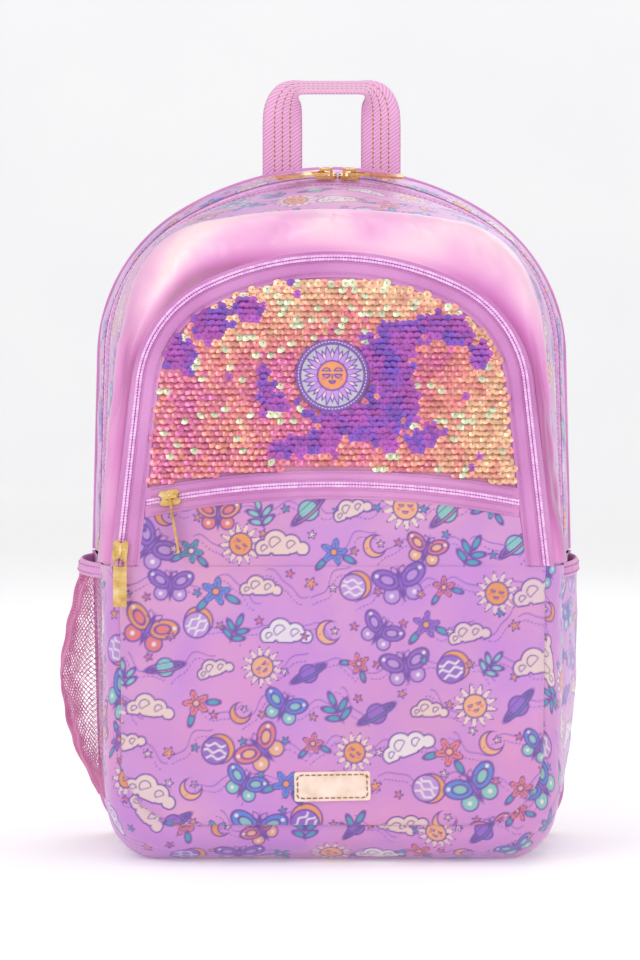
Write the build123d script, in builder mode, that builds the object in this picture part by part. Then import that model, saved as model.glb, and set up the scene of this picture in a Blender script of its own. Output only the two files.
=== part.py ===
"""School backpack: a stuffed two-compartment bag with zips, side pockets, grab handle and shoulder straps.

Frame: +Z up, the front faces -Y, +X is to the right seen from the front. The origin lies on the flat
underside of the base, under the middle of the main compartment. Units are millimetres.
"""
import os
from math import atan, cos, degrees, radians, sin, tan

from build123d import *

# ---- Driving dimensions: depth stations, from the pocket face at the front to the back panel ----
POCKET_FACE_Y = -103.0  # outer face of the front pocket below the waist
FRONT_Y = -57.0  # seam between the front panel and the gusset
ZIP_Y = 12.0  # line of the main zip's coil
BACK_Y = 56.0  # seam between the gusset and the back panel
WAIST_Z = 178.0  # zips end, side pockets end and the front folds at this height
BASE_CORNER = 28.0  # radius of the body's two lower corners

# ---- Driving dimensions: cloth and foam ----
WALL = 2.4  # gusset: cloth, thin foam and lining sewn as one
PANEL = 2.6  # front panel and pocket panels
TAPE = 1.2  # zip tape
LINING = 0.8
BACK_FOAM = 8.0
BACK_COVER = 3.0
BASE_BOARD = 2.0
BASE_PRESS = 0.3  # the base is pressed flat by this much where it stands
SOFT_GAP = 0.3  # left between soft pieces of different bodies
SEAM_GAP = 1.0  # between the fixed lower part and the folding upper part at the waist

# ---- Driving dimensions: arched outlines (height, top radius, half angle of the top arc, lean of the sides) ----
FRONT_ARCH = (388.0, 400.0, 11.0, 5.0)
ZIP_ARCH = (409.0, 180.0, 32.0, 1.7)
BACK_ARCH = (417.0, 180.0, 32.0, 1.5)
FLAP_ARCH = (360.0, 170.0, 26.0, 6.0)
FRONT_HALF = 134.0  # half widths at the waist
BACK_HALF = 149.0
FLAP_HALF = 126.0
BACK_BASE_HALF = 145.0  # half widths of the base, between its rounded corners' outer sides
FRONT_BASE_HALF = 133.0
FLAP_TOP_Y = -79.0  # the flap leans back to this depth at its top
FLAP_BOTTOM_Z = 24.0
FLAP_CORNER = 42.0
TILT_Z = 140.0  # the whole front tilts forward about this height

# ---- Driving dimensions: zips ----
MAIN_TAPE = 14.0  # visible width of each main zip tape
FLAP_TAPE = 10.0  # band between the flap's outline and its panels
COIL_R = 1.5
ZIP_CLEAR = 0.4
BAND_Z = 226.0  # middle of the pocket zip at the centre line
BAND_HALF_H = 8.5
BAND_SAG = 10.0  # how far the ends of the pocket zip lie below its middle
SLIDER_LEN = 13.0
SLIDER_WIDE = 9.0
SLIDER_TOP = 2.4
PULL_LEN = 34.0
PULL_WIDE = 8.0
PULL_THICK = 1.4
BAIL_R = 0.9

# ---- Driving dimensions: side pockets ----
POCKET_TOP_Z = 176.0
MESH_BULGE = 28.0
RIGHT_BULGE = 9.5
POCKET_WALL = 1.6
HEM_H = 9.0

# ---- Driving dimensions: handle and straps ----
WEBBING = 25.0
WEBBING_THICK = 2.2
HANDLE_HALF = 31.0
HANDLE_RISE = 52.0
HANDLE_BAND = 22.0  # height of the band across the top of the handle
HANDLE_CORNER = 24.0
HANDLE_SEWN = 30.0  # length of each end sewn on the back
STRAP_WIDE = 62.0
STRAP_THICK = 11.0
STRAP_X = 62.0
STRAP_TOP_Z = 384.0
STRAP_END_Z = 128.0
STRAP_BOW = 34.0  # clear gap between strap and back at the middle of the loop
LOCK_LEN = 30.0
LOCK_WIDE = 34.0
LOCK_THICK = 5.0
LOCK_BAR = 4.0
LOCK_DROP = 6.0  # from the strap's end down to the ladder lock
LOCK_CLEAR = 0.8
LOCK_X = 82.0
STRAP_FOOT = 32.0  # width of the strap's lower end
STRAP_WEB = 20.0
STRAP_WEB_THICK = 1.4
STRAP_TAIL = 64.0
ANCHOR_Z = 40.0
ANCHOR_THICK = 2.0
YOKE_THICK = 3.0

# ---- Worked-out values ----
ZIP_HALF = FRONT_HALF + (BACK_HALF - FRONT_HALF) * (ZIP_Y - FRONT_Y) / (BACK_Y - FRONT_Y)
FLAP_RISE = FLAP_ARCH[0] - WAIST_Z
FLAP_LEAN = degrees(atan((FLAP_TOP_Y - POCKET_FACE_Y) / FLAP_RISE))
BACK_OUT_Y = BACK_Y + BACK_FOAM + BACK_COVER
YOKE_FACE_Y = BACK_OUT_Y + YOKE_THICK


def save(builder, name):
    """Labels a finished piece and writes it as one STEP file."""
    builder.part.label = name
    export_step(builder.part, f"parts/{name}.step")


def corner_radius(arch, half, base):
    """Radius of the arch's shoulder arcs, so that its sides reach the half width at height base."""
    height, top_r, span, lean = arch
    s1, c1 = sin(radians(span)), cos(radians(span))
    sb, tb = sin(radians(lean)), tan(radians(lean))
    reach = half - top_r * s1 - (height - top_r + top_r * c1 - base) * tb
    return reach / ((cos(radians(lean)) - s1) + (sb - c1) * tb)


def arch_points(arch, half, base, inset=0.0, drop=0.0):
    """Right-hand points of an arched outline: foot, shoulder end, shoulder middle, shoulder start, crown."""
    height, top_r, span, lean = arch
    r2 = corner_radius(arch, half, base)
    s1, c1 = sin(radians(span)), cos(radians(span))
    centre_z = height - top_r
    cx, cz = (top_r - r2) * s1, centre_z + (top_r - r2) * c1
    r2 = r2 - inset
    end_angle = 90.0 - lean
    mid_angle = (span + end_angle) / 2
    start = (cx + r2 * s1, cz + r2 * c1)
    middle = (cx + r2 * sin(radians(mid_angle)), cz + r2 * cos(radians(mid_angle)))
    end = (cx + r2 * sin(radians(end_angle)), cz + r2 * cos(radians(end_angle)))
    foot_z = base - drop
    foot = (end[0] + (end[1] - foot_z) * tan(radians(lean)), foot_z)
    return foot, end, middle, start, (0.0, height - inset)


def arch_outline(arch, half, base=WAIST_Z, inset=0.0, drop=0.0):
    """Closed arched outline in the current BuildLine: foot line, leaning sides, shoulders and crown."""
    foot, end, middle, start, crown = arch_points(arch, half, base, inset, drop)
    mirror_x = [(-x, z) for x, z in (foot, end, middle, start)]
    Line(mirror_x[0], foot)
    Line(foot, end)
    ThreePointArc(end, middle, start)
    ThreePointArc(start, crown, mirror_x[3])
    ThreePointArc(mirror_x[3], mirror_x[2], mirror_x[1])
    Line(mirror_x[1], mirror_x[0])


def upright(y):
    """Sketch plane at depth y: local x is +X and local y is +Z, and it faces the front."""
    return Plane(origin=(0, y, 0), x_dir=(1, 0, 0), z_dir=(0, -1, 0))


def tray_outline(half_top, half_base, top, bottom, corner, inset=0.0, rise=0.0):
    """Closed outline of the lower body: leaning sides and two rounded lower corners."""
    x_top, x_base = half_top - inset, half_base - inset
    low, high, r = bottom + inset, top + rise, max(corner - inset, 1.0)
    knee = r * (1 - cos(radians(45)))
    Line((-x_top, high), (x_top, high))
    Line((x_top, high), (x_base, low + r))
    ThreePointArc((x_base, low + r), (x_base - knee, low + knee), (x_base - r, low))
    Line((x_base - r, low), (-x_base + r, low))
    ThreePointArc((-x_base + r, low), (-x_base + knee, low + knee), (-x_base, low + r))
    Line((-x_base, low + r), (-x_top, high))


def arch_solid(stations, inset, drop=0.0):
    """Solid lofted through the arched outlines at depth stations [(y, arch, half)]."""
    with BuildPart() as solid:
        for y, arch, half in stations:
            with BuildSketch(upright(y)):
                with BuildLine():
                    arch_outline(arch, half, inset=inset, drop=drop)
                make_face()
        loft(ruled=True)
    return solid.part


def arch_band(stations, outer, inner):
    """Arched shell between depth stations, from inset outer to inset inner."""
    with BuildPart() as band:
        add(arch_solid(stations, outer))
        add(arch_solid(stations, inner, drop=20.0), mode=Mode.SUBTRACT)
    return band.part


def tray_solid(stations, inset=0.0, rise=0.0):
    """Solid lofted through lower-body outlines [(y, half_top, half_base, bottom, corner)]."""
    with BuildPart() as solid:
        for y, half_top, half_base, bottom, corner in stations:
            with BuildSketch(upright(y)):
                with BuildLine():
                    tray_outline(half_top, half_base, WAIST_Z, bottom, corner, inset, rise)
                make_face()
        loft(ruled=True)
    return solid.part


def tray_shell(stations):
    """Open-topped wall of the lower body, one gusset thick."""
    with BuildPart() as shell:
        add(tray_solid(stations))
        add(tray_solid(stations, inset=WALL, rise=20.0), mode=Mode.SUBTRACT)
    return shell.part


def slab(y0, y1, z0=-50.0, z1=600.0):
    """A wide box between two depths and two heights, made apart, for trimming shells."""
    size = Box(800, y1 - y0, z1 - z0, mode=Mode.PRIVATE)
    return Pos(0, (y0 + y1) / 2, (z0 + z1) / 2) * size


# ---- Outlines and planes shared by several pieces ----
FRONT = (FRONT_Y, FRONT_ARCH, FRONT_HALF)
ZIP = (ZIP_Y, ZIP_ARCH, ZIP_HALF)
BACK = (BACK_Y, BACK_ARCH, BACK_HALF)
LEAN_SIN, LEAN_COS = sin(radians(FLAP_LEAN)), cos(radians(FLAP_LEAN))
FLAP_PLANE = Plane(
    origin=(0, POCKET_FACE_Y, WAIST_Z), x_dir=(1, 0, 0), z_dir=(0, -LEAN_COS, LEAN_SIN)
)
FLAP_LOCAL = (FLAP_RISE / LEAN_COS, *FLAP_ARCH[1:])
PANEL_FACE_Y = FRONT_Y - PANEL
BAND_U = (BAND_Z - WAIST_Z) / LEAN_COS
BAND_END_X = 106.0  # half length of the pocket zip, out to the flap's tape
BAND_R = (BAND_END_X**2 + BAND_SAG**2) / (2 * BAND_SAG)
BAND_CENTRE_U = BAND_U - BAND_R
SEAM_U = SEAM_GAP / LEAN_COS


def trim_waist(solid, y0=-200.0, y1=200.0):
    """Keeps what lies above the waist seam, between two depths."""
    return solid & slab(y0, y1, WAIST_Z + SEAM_GAP)


# ---- Main compartment ----
def main_gussets():
    front_y = ZIP_Y - MAIN_TAPE
    rear_y = ZIP_Y + MAIN_TAPE
    with BuildPart() as front_gusset:
        add(trim_waist(arch_band([FRONT, ZIP], 0, WALL), FRONT_Y, front_y))
    save(front_gusset, "front_gusset")
    with BuildPart() as rear_gusset:
        add(arch_band([ZIP, BACK], 0, WALL) & slab(rear_y, BACK_Y))
    save(rear_gusset, "rear_gusset")


def main_zip():
    half_gap = SOFT_GAP / 2
    sink = (WALL - TAPE) / 2
    front_end, rear_end = ZIP_Y - half_gap, ZIP_Y + half_gap
    coil_wide = 1.6
    with BuildPart() as tape_front:
        add(trim_waist(arch_band([FRONT, ZIP], sink, sink + TAPE), ZIP_Y - MAIN_TAPE, front_end))
    save(tape_front, "main_zip_tape_front")
    with BuildPart() as tape_rear:
        add(arch_band([ZIP, BACK], sink, sink + TAPE) & slab(rear_end, ZIP_Y + MAIN_TAPE))
    save(tape_rear, "main_zip_tape_rear")
    with BuildPart() as coil_front:
        add(trim_waist(arch_band([FRONT, ZIP], sink - COIL_R, sink), front_end - coil_wide, front_end))
    save(coil_front, "main_zip_coil_front")
    with BuildPart() as coil_rear:
        add(arch_band([ZIP, BACK], sink - COIL_R, sink) & slab(rear_end, rear_end + coil_wide))
    save(coil_rear, "main_zip_coil_rear")


def lower_body():
    """Side gussets and base of the main compartment, below the waist."""
    trays = [
        (FRONT_Y, FRONT_HALF, FRONT_BASE_HALF, -BASE_PRESS, BASE_CORNER + BASE_PRESS),
        (BACK_Y, BACK_HALF, BACK_BASE_HALF, -BASE_PRESS, BASE_CORNER + BASE_PRESS),
    ]
    shell = tray_shell(trays)
    knee_z = BASE_CORNER + 2.0
    with BuildPart() as base_panel:
        add(shell & slab(FRONT_Y, BACK_Y, 0.0, knee_z))
    save(base_panel, "base_panel")
    sides = shell & slab(FRONT_Y, BACK_Y, knee_z, WAIST_Z)
    for name, side in (("side_gusset_left", -1), ("side_gusset_right", 1)):
        half_space = Pos(side * 200, 0, 150) * Box(400, 400, 400, mode=Mode.PRIVATE)
        with BuildPart() as gusset:
            add(sides & half_space)
        save(gusset, name)
    board_half = FRONT_BASE_HALF - BASE_CORNER
    with BuildPart() as base_board:
        with BuildSketch(Plane.XY.offset(WALL - BASE_PRESS)):
            with Locations((0, (FRONT_Y + BACK_Y) / 2)):
                RectangleRounded(2 * board_half, BACK_Y - FRONT_Y - 6.0, 6.0)
        extrude(amount=BASE_BOARD)
    save(base_board, "base_board")


def full_back(depth_y, thick, name):
    """A layer with the whole outline of the back, from depth_y outwards."""
    with BuildPart() as layer:
        with BuildSketch(upright(depth_y)):
            with BuildLine():
                arch_outline(BACK_ARCH, BACK_HALF)
            make_face()
            with BuildLine():
                tray_outline(BACK_HALF, BACK_BASE_HALF, WAIST_Z, 0.0, BASE_CORNER)
            make_face()
        extrude(amount=-thick)
    save(layer, name)


def back_layers():
    full_back(BACK_Y, BACK_FOAM, "back_foam")
    full_back(BACK_Y + BACK_FOAM, BACK_COVER, "back_cover")


def front_panels():
    with BuildPart() as upper:
        with BuildSketch(upright(FRONT_Y)):
            with BuildLine():
                arch_outline(FRONT_ARCH, FRONT_HALF)
            make_face()
        extrude(amount=PANEL)
        add(slab(-200, 200, WAIST_Z - 60, WAIST_Z + SEAM_GAP), mode=Mode.SUBTRACT)
    save(upper, "front_panel_upper")
    with BuildPart() as divider:
        with BuildSketch(upright(FRONT_Y)):
            with BuildLine():
                tray_outline(FRONT_HALF, FRONT_BASE_HALF, WAIST_Z, 0.0, BASE_CORNER)
            make_face()
        extrude(amount=PANEL)
    save(divider, "front_divider_lower")


# ---- Front pocket ----
def pocket_lower():
    rim_y = POCKET_FACE_Y + PANEL
    front_half_base = FLAP_HALF - 1.0
    rims = [
        (PANEL_FACE_Y, FRONT_HALF, FRONT_BASE_HALF, 0.0, BASE_CORNER),
        (rim_y, FLAP_HALF, front_half_base, FLAP_BOTTOM_Z, FLAP_CORNER),
    ]
    with BuildPart() as gusset:
        add(tray_shell(rims))
    save(gusset, "pocket_gusset_lower")
    with BuildPart() as face:
        with BuildSketch(upright(rim_y)):
            with BuildLine():
                tray_outline(FLAP_HALF, front_half_base, WAIST_Z, FLAP_BOTTOM_Z, FLAP_CORNER)
            make_face()
        extrude(amount=PANEL)
    save(face, "pocket_panel_lower")
    bag_half, bag_foot = 100.0, 60.0
    with BuildPart() as bag:
        with BuildSketch(upright(rim_y + LINING)):
            with Locations((0, (WAIST_Z + bag_foot) / 2)):
                Rectangle(2 * bag_half, WAIST_Z - bag_foot)
        extrude(amount=LINING)
    save(bag, "zip_pocket_bag_lower")


def flap_face(inset, drop=0.0):
    """Arched face of the flap from the waist up, in the flap plane's own coordinates."""
    with BuildSketch(Plane.XY) as face:
        with BuildLine():
            arch_outline(FLAP_LOCAL, FLAP_HALF, base=0.0, inset=inset, drop=drop)
        make_face()
    return face.sketch


def band_disc(radius):
    """Disc whose rim is an arc of the curved pocket zip, in the flap plane's own coordinates."""
    with BuildSketch(Plane.XY) as disc:
        with Locations((0, BAND_CENTRE_U)):
            Circle(radius)
    return disc.sketch


def below_seam():
    """What lies below the flap's foot line, in the flap plane's own coordinates."""
    with BuildSketch(Plane.XY) as strip:
        with Locations((0, -100 + SEAM_U)):
            Rectangle(600, 200)
    return strip.sketch


def flap_panels():
    inside = FLAP_TAPE
    upper_r, lower_r = BAND_R + BAND_HALF_H, BAND_R - BAND_HALF_H
    with BuildPart() as sequin_backing:
        with BuildSketch(FLAP_PLANE):
            add(flap_face(inside))
            add(band_disc(upper_r), mode=Mode.SUBTRACT)
            add(below_seam(), mode=Mode.SUBTRACT)
        extrude(amount=-PANEL)
    save(sequin_backing, "sequin_backing")
    edge = 1.5
    with BuildPart() as sequin_layer:
        with BuildSketch(FLAP_PLANE):
            add(flap_face(inside + edge))
            add(band_disc(upper_r + edge), mode=Mode.SUBTRACT)
            add(below_seam(), mode=Mode.SUBTRACT)
        extrude(amount=LINING)
    save(sequin_layer, "sequin_layer")
    with BuildPart() as strip:
        with BuildSketch(FLAP_PLANE):
            add(flap_face(inside))
            add(band_disc(lower_r), mode=Mode.INTERSECT)
            add(below_seam(), mode=Mode.SUBTRACT)
        extrude(amount=-PANEL)
    save(strip, "flap_print_strip")
    with BuildPart() as border:
        with BuildSketch(FLAP_PLANE):
            add(flap_face(0.0))
            add(flap_face(inside, drop=30.0), mode=Mode.SUBTRACT)
            add(below_seam(), mode=Mode.SUBTRACT)
        extrude(amount=-PANEL)
    save(border, "flap_zip_tape")
    with BuildPart() as lining:
        with BuildSketch(FLAP_PLANE.offset(-PANEL)):
            add(flap_face(2.0))
            add(below_seam(), mode=Mode.SUBTRACT)
        extrude(amount=-LINING)
    save(lining, "flap_lining")
    with BuildPart() as bag:
        with BuildSketch(FLAP_PLANE.offset(-PANEL - LINING)):
            with Locations((0, (BAND_U - BAND_SAG + SEAM_U) / 2)):
                Rectangle(200.0, BAND_U - BAND_SAG - SEAM_U)
        extrude(amount=-LINING)
    save(bag, "zip_pocket_bag_upper")


def pocket_zip():
    """The curved zip across the flap: two tapes and two coils."""
    half_gap = SOFT_GAP / 2
    coil_wide = 1.6
    rings = {
        "pocket_zip_tape_upper": (BAND_R + half_gap, BAND_R + BAND_HALF_H, -PANEL),
        "pocket_zip_tape_lower": (BAND_R - BAND_HALF_H, BAND_R - half_gap, -PANEL),
        "pocket_zip_coil_upper": (BAND_R + half_gap, BAND_R + half_gap + coil_wide, COIL_R),
        "pocket_zip_coil_lower": (BAND_R - half_gap - coil_wide, BAND_R - half_gap, COIL_R),
    }
    for name, (low, high, thick) in rings.items():
        with BuildPart() as ring:
            with BuildSketch(FLAP_PLANE):
                add(flap_face(FLAP_TAPE))
                add(band_disc(high), mode=Mode.INTERSECT)
                add(band_disc(low), mode=Mode.SUBTRACT)
            extrude(amount=thick)
        save(ring, name)


def pocket_wall_solid(inset, drop):
    """Solid between the front panel's face and the flap's outer face, on the arched outline."""
    with BuildPart() as solid:
        with BuildSketch(upright(PANEL_FACE_Y)):
            with BuildLine():
                arch_outline(FLAP_ARCH, FLAP_HALF, inset=inset, drop=drop)
            make_face()
        with BuildSketch(FLAP_PLANE):
            add(flap_face(inset, drop=drop))
        loft(ruled=True)
    return solid.part


def flap_zip():
    """The arched zip round the flap: the wall tape on the front panel and the coil on each side."""
    gap = SOFT_GAP
    coil_wide = 1.6

    with BuildPart() as wall:
        add(pocket_wall_solid(-gap - TAPE, 0.0))
        add(pocket_wall_solid(-gap, 30.0), mode=Mode.SUBTRACT)
        add(slab(-300, 300, -50, WAIST_Z + SEAM_GAP), mode=Mode.SUBTRACT)
    save(wall, "pocket_zip_wall")
    coils = {"flap_zip_coil_outer": (-gap - coil_wide, -gap), "flap_zip_coil_inner": (0.0, coil_wide)}
    for name, (outer, inner) in coils.items():
        with BuildPart() as coil:
            with BuildSketch(FLAP_PLANE):
                add(flap_face(outer))
                add(flap_face(inner, drop=30.0), mode=Mode.SUBTRACT)
                add(below_seam(), mode=Mode.SUBTRACT)
            extrude(amount=COIL_R)
        save(coil, name)


# ---- Badge and label ----
def badge_and_label():
    badge_z, badge_r, rim_wide = 290.0, 21.5, 3.0
    plane = Plane(
        FLAP_PLANE.from_local_coords((0, (badge_z - WAIST_Z) / LEAN_COS, LINING)),
        x_dir=(1, 0, 0),
        z_dir=(0, -LEAN_COS, LEAN_SIN),
    )
    with BuildPart() as disc:
        with BuildSketch(plane):
            Circle(badge_r - rim_wide)
        extrude(amount=1.6)
    save(disc, "badge_disc")
    with BuildPart() as rim:
        with BuildSketch(plane):
            Circle(badge_r)
            Circle(badge_r - rim_wide, mode=Mode.SUBTRACT)
        extrude(amount=2.4)
    save(rim, "badge_rim")
    label_z, label_wide, label_high, label_thick = 48.0, 45.0, 17.5, 1.4
    with BuildPart() as label:
        with BuildSketch(upright(POCKET_FACE_Y)):
            with Locations((0, label_z)):
                RectangleRounded(label_wide, label_high, 2.0)
        extrude(amount=label_thick)
    save(label, "label_plate")


# ---- Side pockets ----
def gusset_x(y, z):
    """Outer half width of the side gusset at depth y and height z."""
    t = (y - FRONT_Y) / (BACK_Y - FRONT_Y)
    s = (z - BASE_CORNER) / (WAIST_Z - BASE_CORNER)
    top = FRONT_HALF + (BACK_HALF - FRONT_HALF) * t
    foot = FRONT_BASE_HALF + (BACK_BASE_HALF - FRONT_BASE_HALF) * t
    return foot + (top - foot) * s


def pocket_solid(profile, bulge, grow):
    """Solid of half-moon sections on the +X side, at [(height, share of the bulge)], grown all round."""
    front_y, back_y = FRONT_Y + 5.0 - grow, BACK_Y - 3.0 + grow
    with BuildPart() as solid:
        for z, share in profile:
            front_x, back_x = gusset_x(front_y, z), gusset_x(back_y, z)
            middle = ((front_x + back_x) / 2 + bulge * share + grow, (front_y + back_y) / 2)
            with BuildSketch(Plane.XY.offset(z)):
                with BuildLine():
                    ThreePointArc((front_x, front_y), middle, (back_x, back_y))
                    if grow:
                        Line((back_x, back_y), (front_x, front_y))
                    else:
                        Polyline(
                            (back_x, back_y), (back_x - 9, back_y), (front_x - 9, front_y), (front_x, front_y)
                        )
                make_face()
        loft(ruled=True)
    return solid.part


def side_pocket(name, side, bulge, hem_share):
    """Bulging pocket wall with its hem, open at the top, on the -X or +X side."""
    foot_z, body_top = BASE_CORNER + 4.0, POCKET_TOP_Z - HEM_H
    shape = [(foot_z, 0.15), (62.0, 0.72), (105.0, 1.0), (body_top, hem_share + 0.06)]
    outer = shape + [(POCKET_TOP_Z, hem_share)]
    inner = [(foot_z + POCKET_WALL, 0.15)] + shape[1:] + [(POCKET_TOP_Z + 5.0, hem_share - 0.03)]
    with BuildPart() as wall:
        add(pocket_solid(outer, bulge, POCKET_WALL))
        add(pocket_solid(inner, bulge, 0.0), mode=Mode.SUBTRACT)
    parts = {name: (0.0, body_top), f"{name}_hem": (body_top, POCKET_TOP_Z)}
    for piece_name, (low, high) in parts.items():
        with BuildPart() as piece:
            add(wall.part & slab(-200, 200, low, high))
            if side < 0:
                add(mirror(piece.part, about=Plane.YZ, mode=Mode.PRIVATE), mode=Mode.REPLACE)
        save(piece, piece_name)


# ---- Sliders and pulls ----
SLIDER_LIFT = COIL_R + ZIP_CLEAR  # underside of the slider above the tape
SLIDER_ROOF = SLIDER_LIFT + SLIDER_TOP
BAIL_HIGH = SLIDER_ROOF + 3.3  # bail bar's middle above the tape
EYE_HIGH = SLIDER_ROOF + 1.2  # middle of the flat pull's eye bar above the tape


def slider(plane, name):
    """Slider body with its bail; local x is the way it travels and local z points out of the bag."""
    bail_half, post = 3.2, 1.8
    with BuildPart(plane) as body:
        with BuildSketch(plane.offset(SLIDER_LIFT)):
            RectangleRounded(SLIDER_LEN, SLIDER_WIDE, 3.0)
            with Locations((-SLIDER_LEN / 2, 0), (SLIDER_LEN / 2, 0)):
                Circle(2.0, mode=Mode.SUBTRACT)
        extrude(amount=SLIDER_TOP)
        with BuildSketch(plane.offset(SLIDER_ROOF)):
            with Locations((-bail_half, 0), (bail_half, 0)):
                Rectangle(post, post)
        extrude(amount=BAIL_HIGH + BAIL_R - SLIDER_ROOF)
        bar_plane = Plane(
            plane.from_local_coords((-bail_half, 0, BAIL_HIGH)), x_dir=plane.y_dir, z_dir=plane.x_dir
        )
        with BuildSketch(bar_plane):
            Circle(BAIL_R)
        extrude(amount=2 * bail_half)
    save(body, name)


def flat_pull(plane, name):
    """Pull lying along local +x, threaded through the bail by the window at its end."""
    eye, window_len, window_wide = 1.4, 9.0, 5.4
    with BuildPart(plane) as pull:
        with BuildSketch(plane.offset(EYE_HIGH - PULL_THICK / 2)):
            with Locations((PULL_LEN / 2 - eye / 2, 0)):
                RectangleRounded(PULL_LEN, PULL_WIDE, 0.6)
            with Locations((eye / 2 + window_len / 2, 0)):
                Rectangle(window_len, window_wide, mode=Mode.SUBTRACT)
        extrude(amount=PULL_THICK)
    save(pull, name)


def edge_pull(plane, name):
    """Pull hanging from the bail bar along local -y, its plate edge-on to the front."""
    eye_r, rim_r, neck = 1.35, 2.15, 7.0
    side = Plane(
        plane.from_local_coords((-PULL_THICK / 2, 0, BAIL_HIGH)), x_dir=plane.z_dir, z_dir=plane.x_dir
    )
    with BuildPart() as pull:
        with BuildSketch(side):
            Circle(rim_r)
            with Locations((0, neck / 2)):
                Rectangle(2 * rim_r - 1.0, neck)
            with Locations((0, (neck - 1.0 + PULL_LEN) / 2)):
                RectangleRounded(PULL_WIDE, PULL_LEN - neck + 1.0, 1.0)
            Circle(eye_r, mode=Mode.SUBTRACT)
        extrude(amount=PULL_THICK)
    save(pull, name)


def turned(plane, angle):
    """The same plane turned about its own normal."""
    across, ahead = sin(radians(angle)), cos(radians(angle))
    return Plane(plane.origin, x_dir=plane.x_dir * ahead + plane.y_dir * across, z_dir=plane.z_dir)


def main_slider_plane(arc_x):
    """Tape plane of the main zip at an arc length from the crown, positive to the right."""
    height, top_r, _, _ = ZIP_ARCH
    phi = arc_x / top_r
    slope = (BACK_ARCH[0] - FRONT_ARCH[0]) / (BACK_Y - FRONT_Y)
    radius = top_r - (WALL - TAPE) / 2
    origin = (radius * sin(phi), ZIP_Y, height - top_r + radius * cos(phi))
    tilt = cos(atan(slope))
    normal = (sin(phi) * tilt, -sin(atan(slope)), cos(phi) * tilt)
    return Plane(origin=origin, x_dir=(cos(phi), 0, -sin(phi)), z_dir=normal)


def sliders():
    meet_x = 3.5  # the two main sliders meet a little right of the middle
    half_pair = SLIDER_LEN / 2 + 0.5
    left = main_slider_plane(meet_x - half_pair)
    right = main_slider_plane(meet_x + half_pair)
    slider(left, "main_slider_left")
    flat_pull(turned(left, 180 + 22), "main_pull_left")
    slider(right, "main_slider_right")
    flat_pull(turned(right, -4), "main_pull_right")
    foot_x = arch_points(FLAP_LOCAL, FLAP_HALF, 0.0)[0][0]
    up = SLIDER_LEN / 2 + 2.5  # height of the flap slider's middle above the waist
    lean = radians(FLAP_ARCH[3])
    at = FLAP_PLANE.from_local_coords((-foot_x + up * tan(lean), up, 0))
    leg_dir = FLAP_PLANE.x_dir * sin(lean) + FLAP_PLANE.y_dir * cos(lean)
    leg_plane = Plane(at, x_dir=leg_dir, z_dir=FLAP_PLANE.z_dir)
    slider(leg_plane, "flap_slider")
    flat_pull(Plane(at, x_dir=-FLAP_PLANE.y_dir, z_dir=FLAP_PLANE.z_dir), "flap_pull")
    reach = (BAND_END_X - SLIDER_LEN / 2 - 3.0) / BAND_R
    band_at = FLAP_PLANE.from_local_coords(
        (-BAND_R * sin(reach), BAND_CENTRE_U + BAND_R * cos(reach), 0)
    )
    band_dir = FLAP_PLANE.x_dir * cos(reach) + FLAP_PLANE.y_dir * sin(reach)
    band_plane = Plane(band_at, x_dir=band_dir, z_dir=FLAP_PLANE.z_dir)
    slider(band_plane, "pocket_slider")
    edge_pull(band_plane, "pocket_pull")


# ---- Grab handle ----
HANDLE_Y = BACK_OUT_Y
HANDLE_HINGE_Z = BACK_ARCH[0] + 2.0


def handle_outline(half, low, top, corner):
    """Inverted U shape between +-half, with its upper corners rounded."""
    knee = corner * (1 - cos(radians(45)))
    Line((-half, low), (half, low))
    Line((half, low), (half, top - corner))
    ThreePointArc((half, top - corner), (half - knee, top - knee), (half - corner, top))
    Line((half - corner, top), (-half + corner, top))
    ThreePointArc((-half + corner, top), (-half + knee, top - knee), (-half, top - corner))
    Line((-half, top - corner), (-half, low))


def handle():
    outer, inner = HANDLE_HALF + WEBBING / 2, HANDLE_HALF - WEBBING / 2
    foot_z = HANDLE_HINGE_Z + WEBBING_THICK / 2 + SOFT_GAP
    crown_z = HANDLE_HINGE_Z + HANDLE_RISE
    with BuildPart() as loop:
        with BuildSketch(upright(HANDLE_Y + WEBBING_THICK)):
            with BuildLine():
                handle_outline(outer, foot_z, crown_z, HANDLE_CORNER)
            make_face()
        extrude(amount=WEBBING_THICK)
        with BuildSketch(upright(HANDLE_Y + WEBBING_THICK)):
            with BuildLine():
                handle_outline(inner, foot_z - 5, crown_z - HANDLE_BAND, HANDLE_CORNER / 3)
            make_face()
        extrude(amount=WEBBING_THICK, mode=Mode.SUBTRACT)
    save(loop, "grab_handle")
    middle_y = HANDLE_Y + WEBBING_THICK / 2
    with BuildPart() as anchors:
        for x in (-outer, inner):
            with BuildSketch(Plane.YZ.offset(x)):
                with Locations((middle_y, HANDLE_HINGE_Z - HANDLE_SEWN / 2)):
                    Rectangle(WEBBING_THICK, HANDLE_SEWN)
                with Locations((middle_y, HANDLE_HINGE_Z)):
                    Circle(WEBBING_THICK / 2)
            extrude(amount=WEBBING)
    save(anchors, "handle_anchors")


# ---- Shoulder straps ----
def strap_profile(inner_y, bow, thick):
    """Bowed side profile of a strap in the YZ plane: an arc band from its top to its lower end."""
    mid_z = (STRAP_TOP_Z + STRAP_END_Z) / 2
    Line((inner_y, STRAP_TOP_Z), (inner_y + thick, STRAP_TOP_Z))
    ThreePointArc(
        (inner_y + thick, STRAP_TOP_Z), (inner_y + thick + bow, mid_z), (inner_y + thick, STRAP_END_Z)
    )
    Line((inner_y + thick, STRAP_END_Z), (inner_y, STRAP_END_Z))
    ThreePointArc((inner_y, STRAP_END_Z), (inner_y + bow, mid_z), (inner_y, STRAP_TOP_Z))


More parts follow.
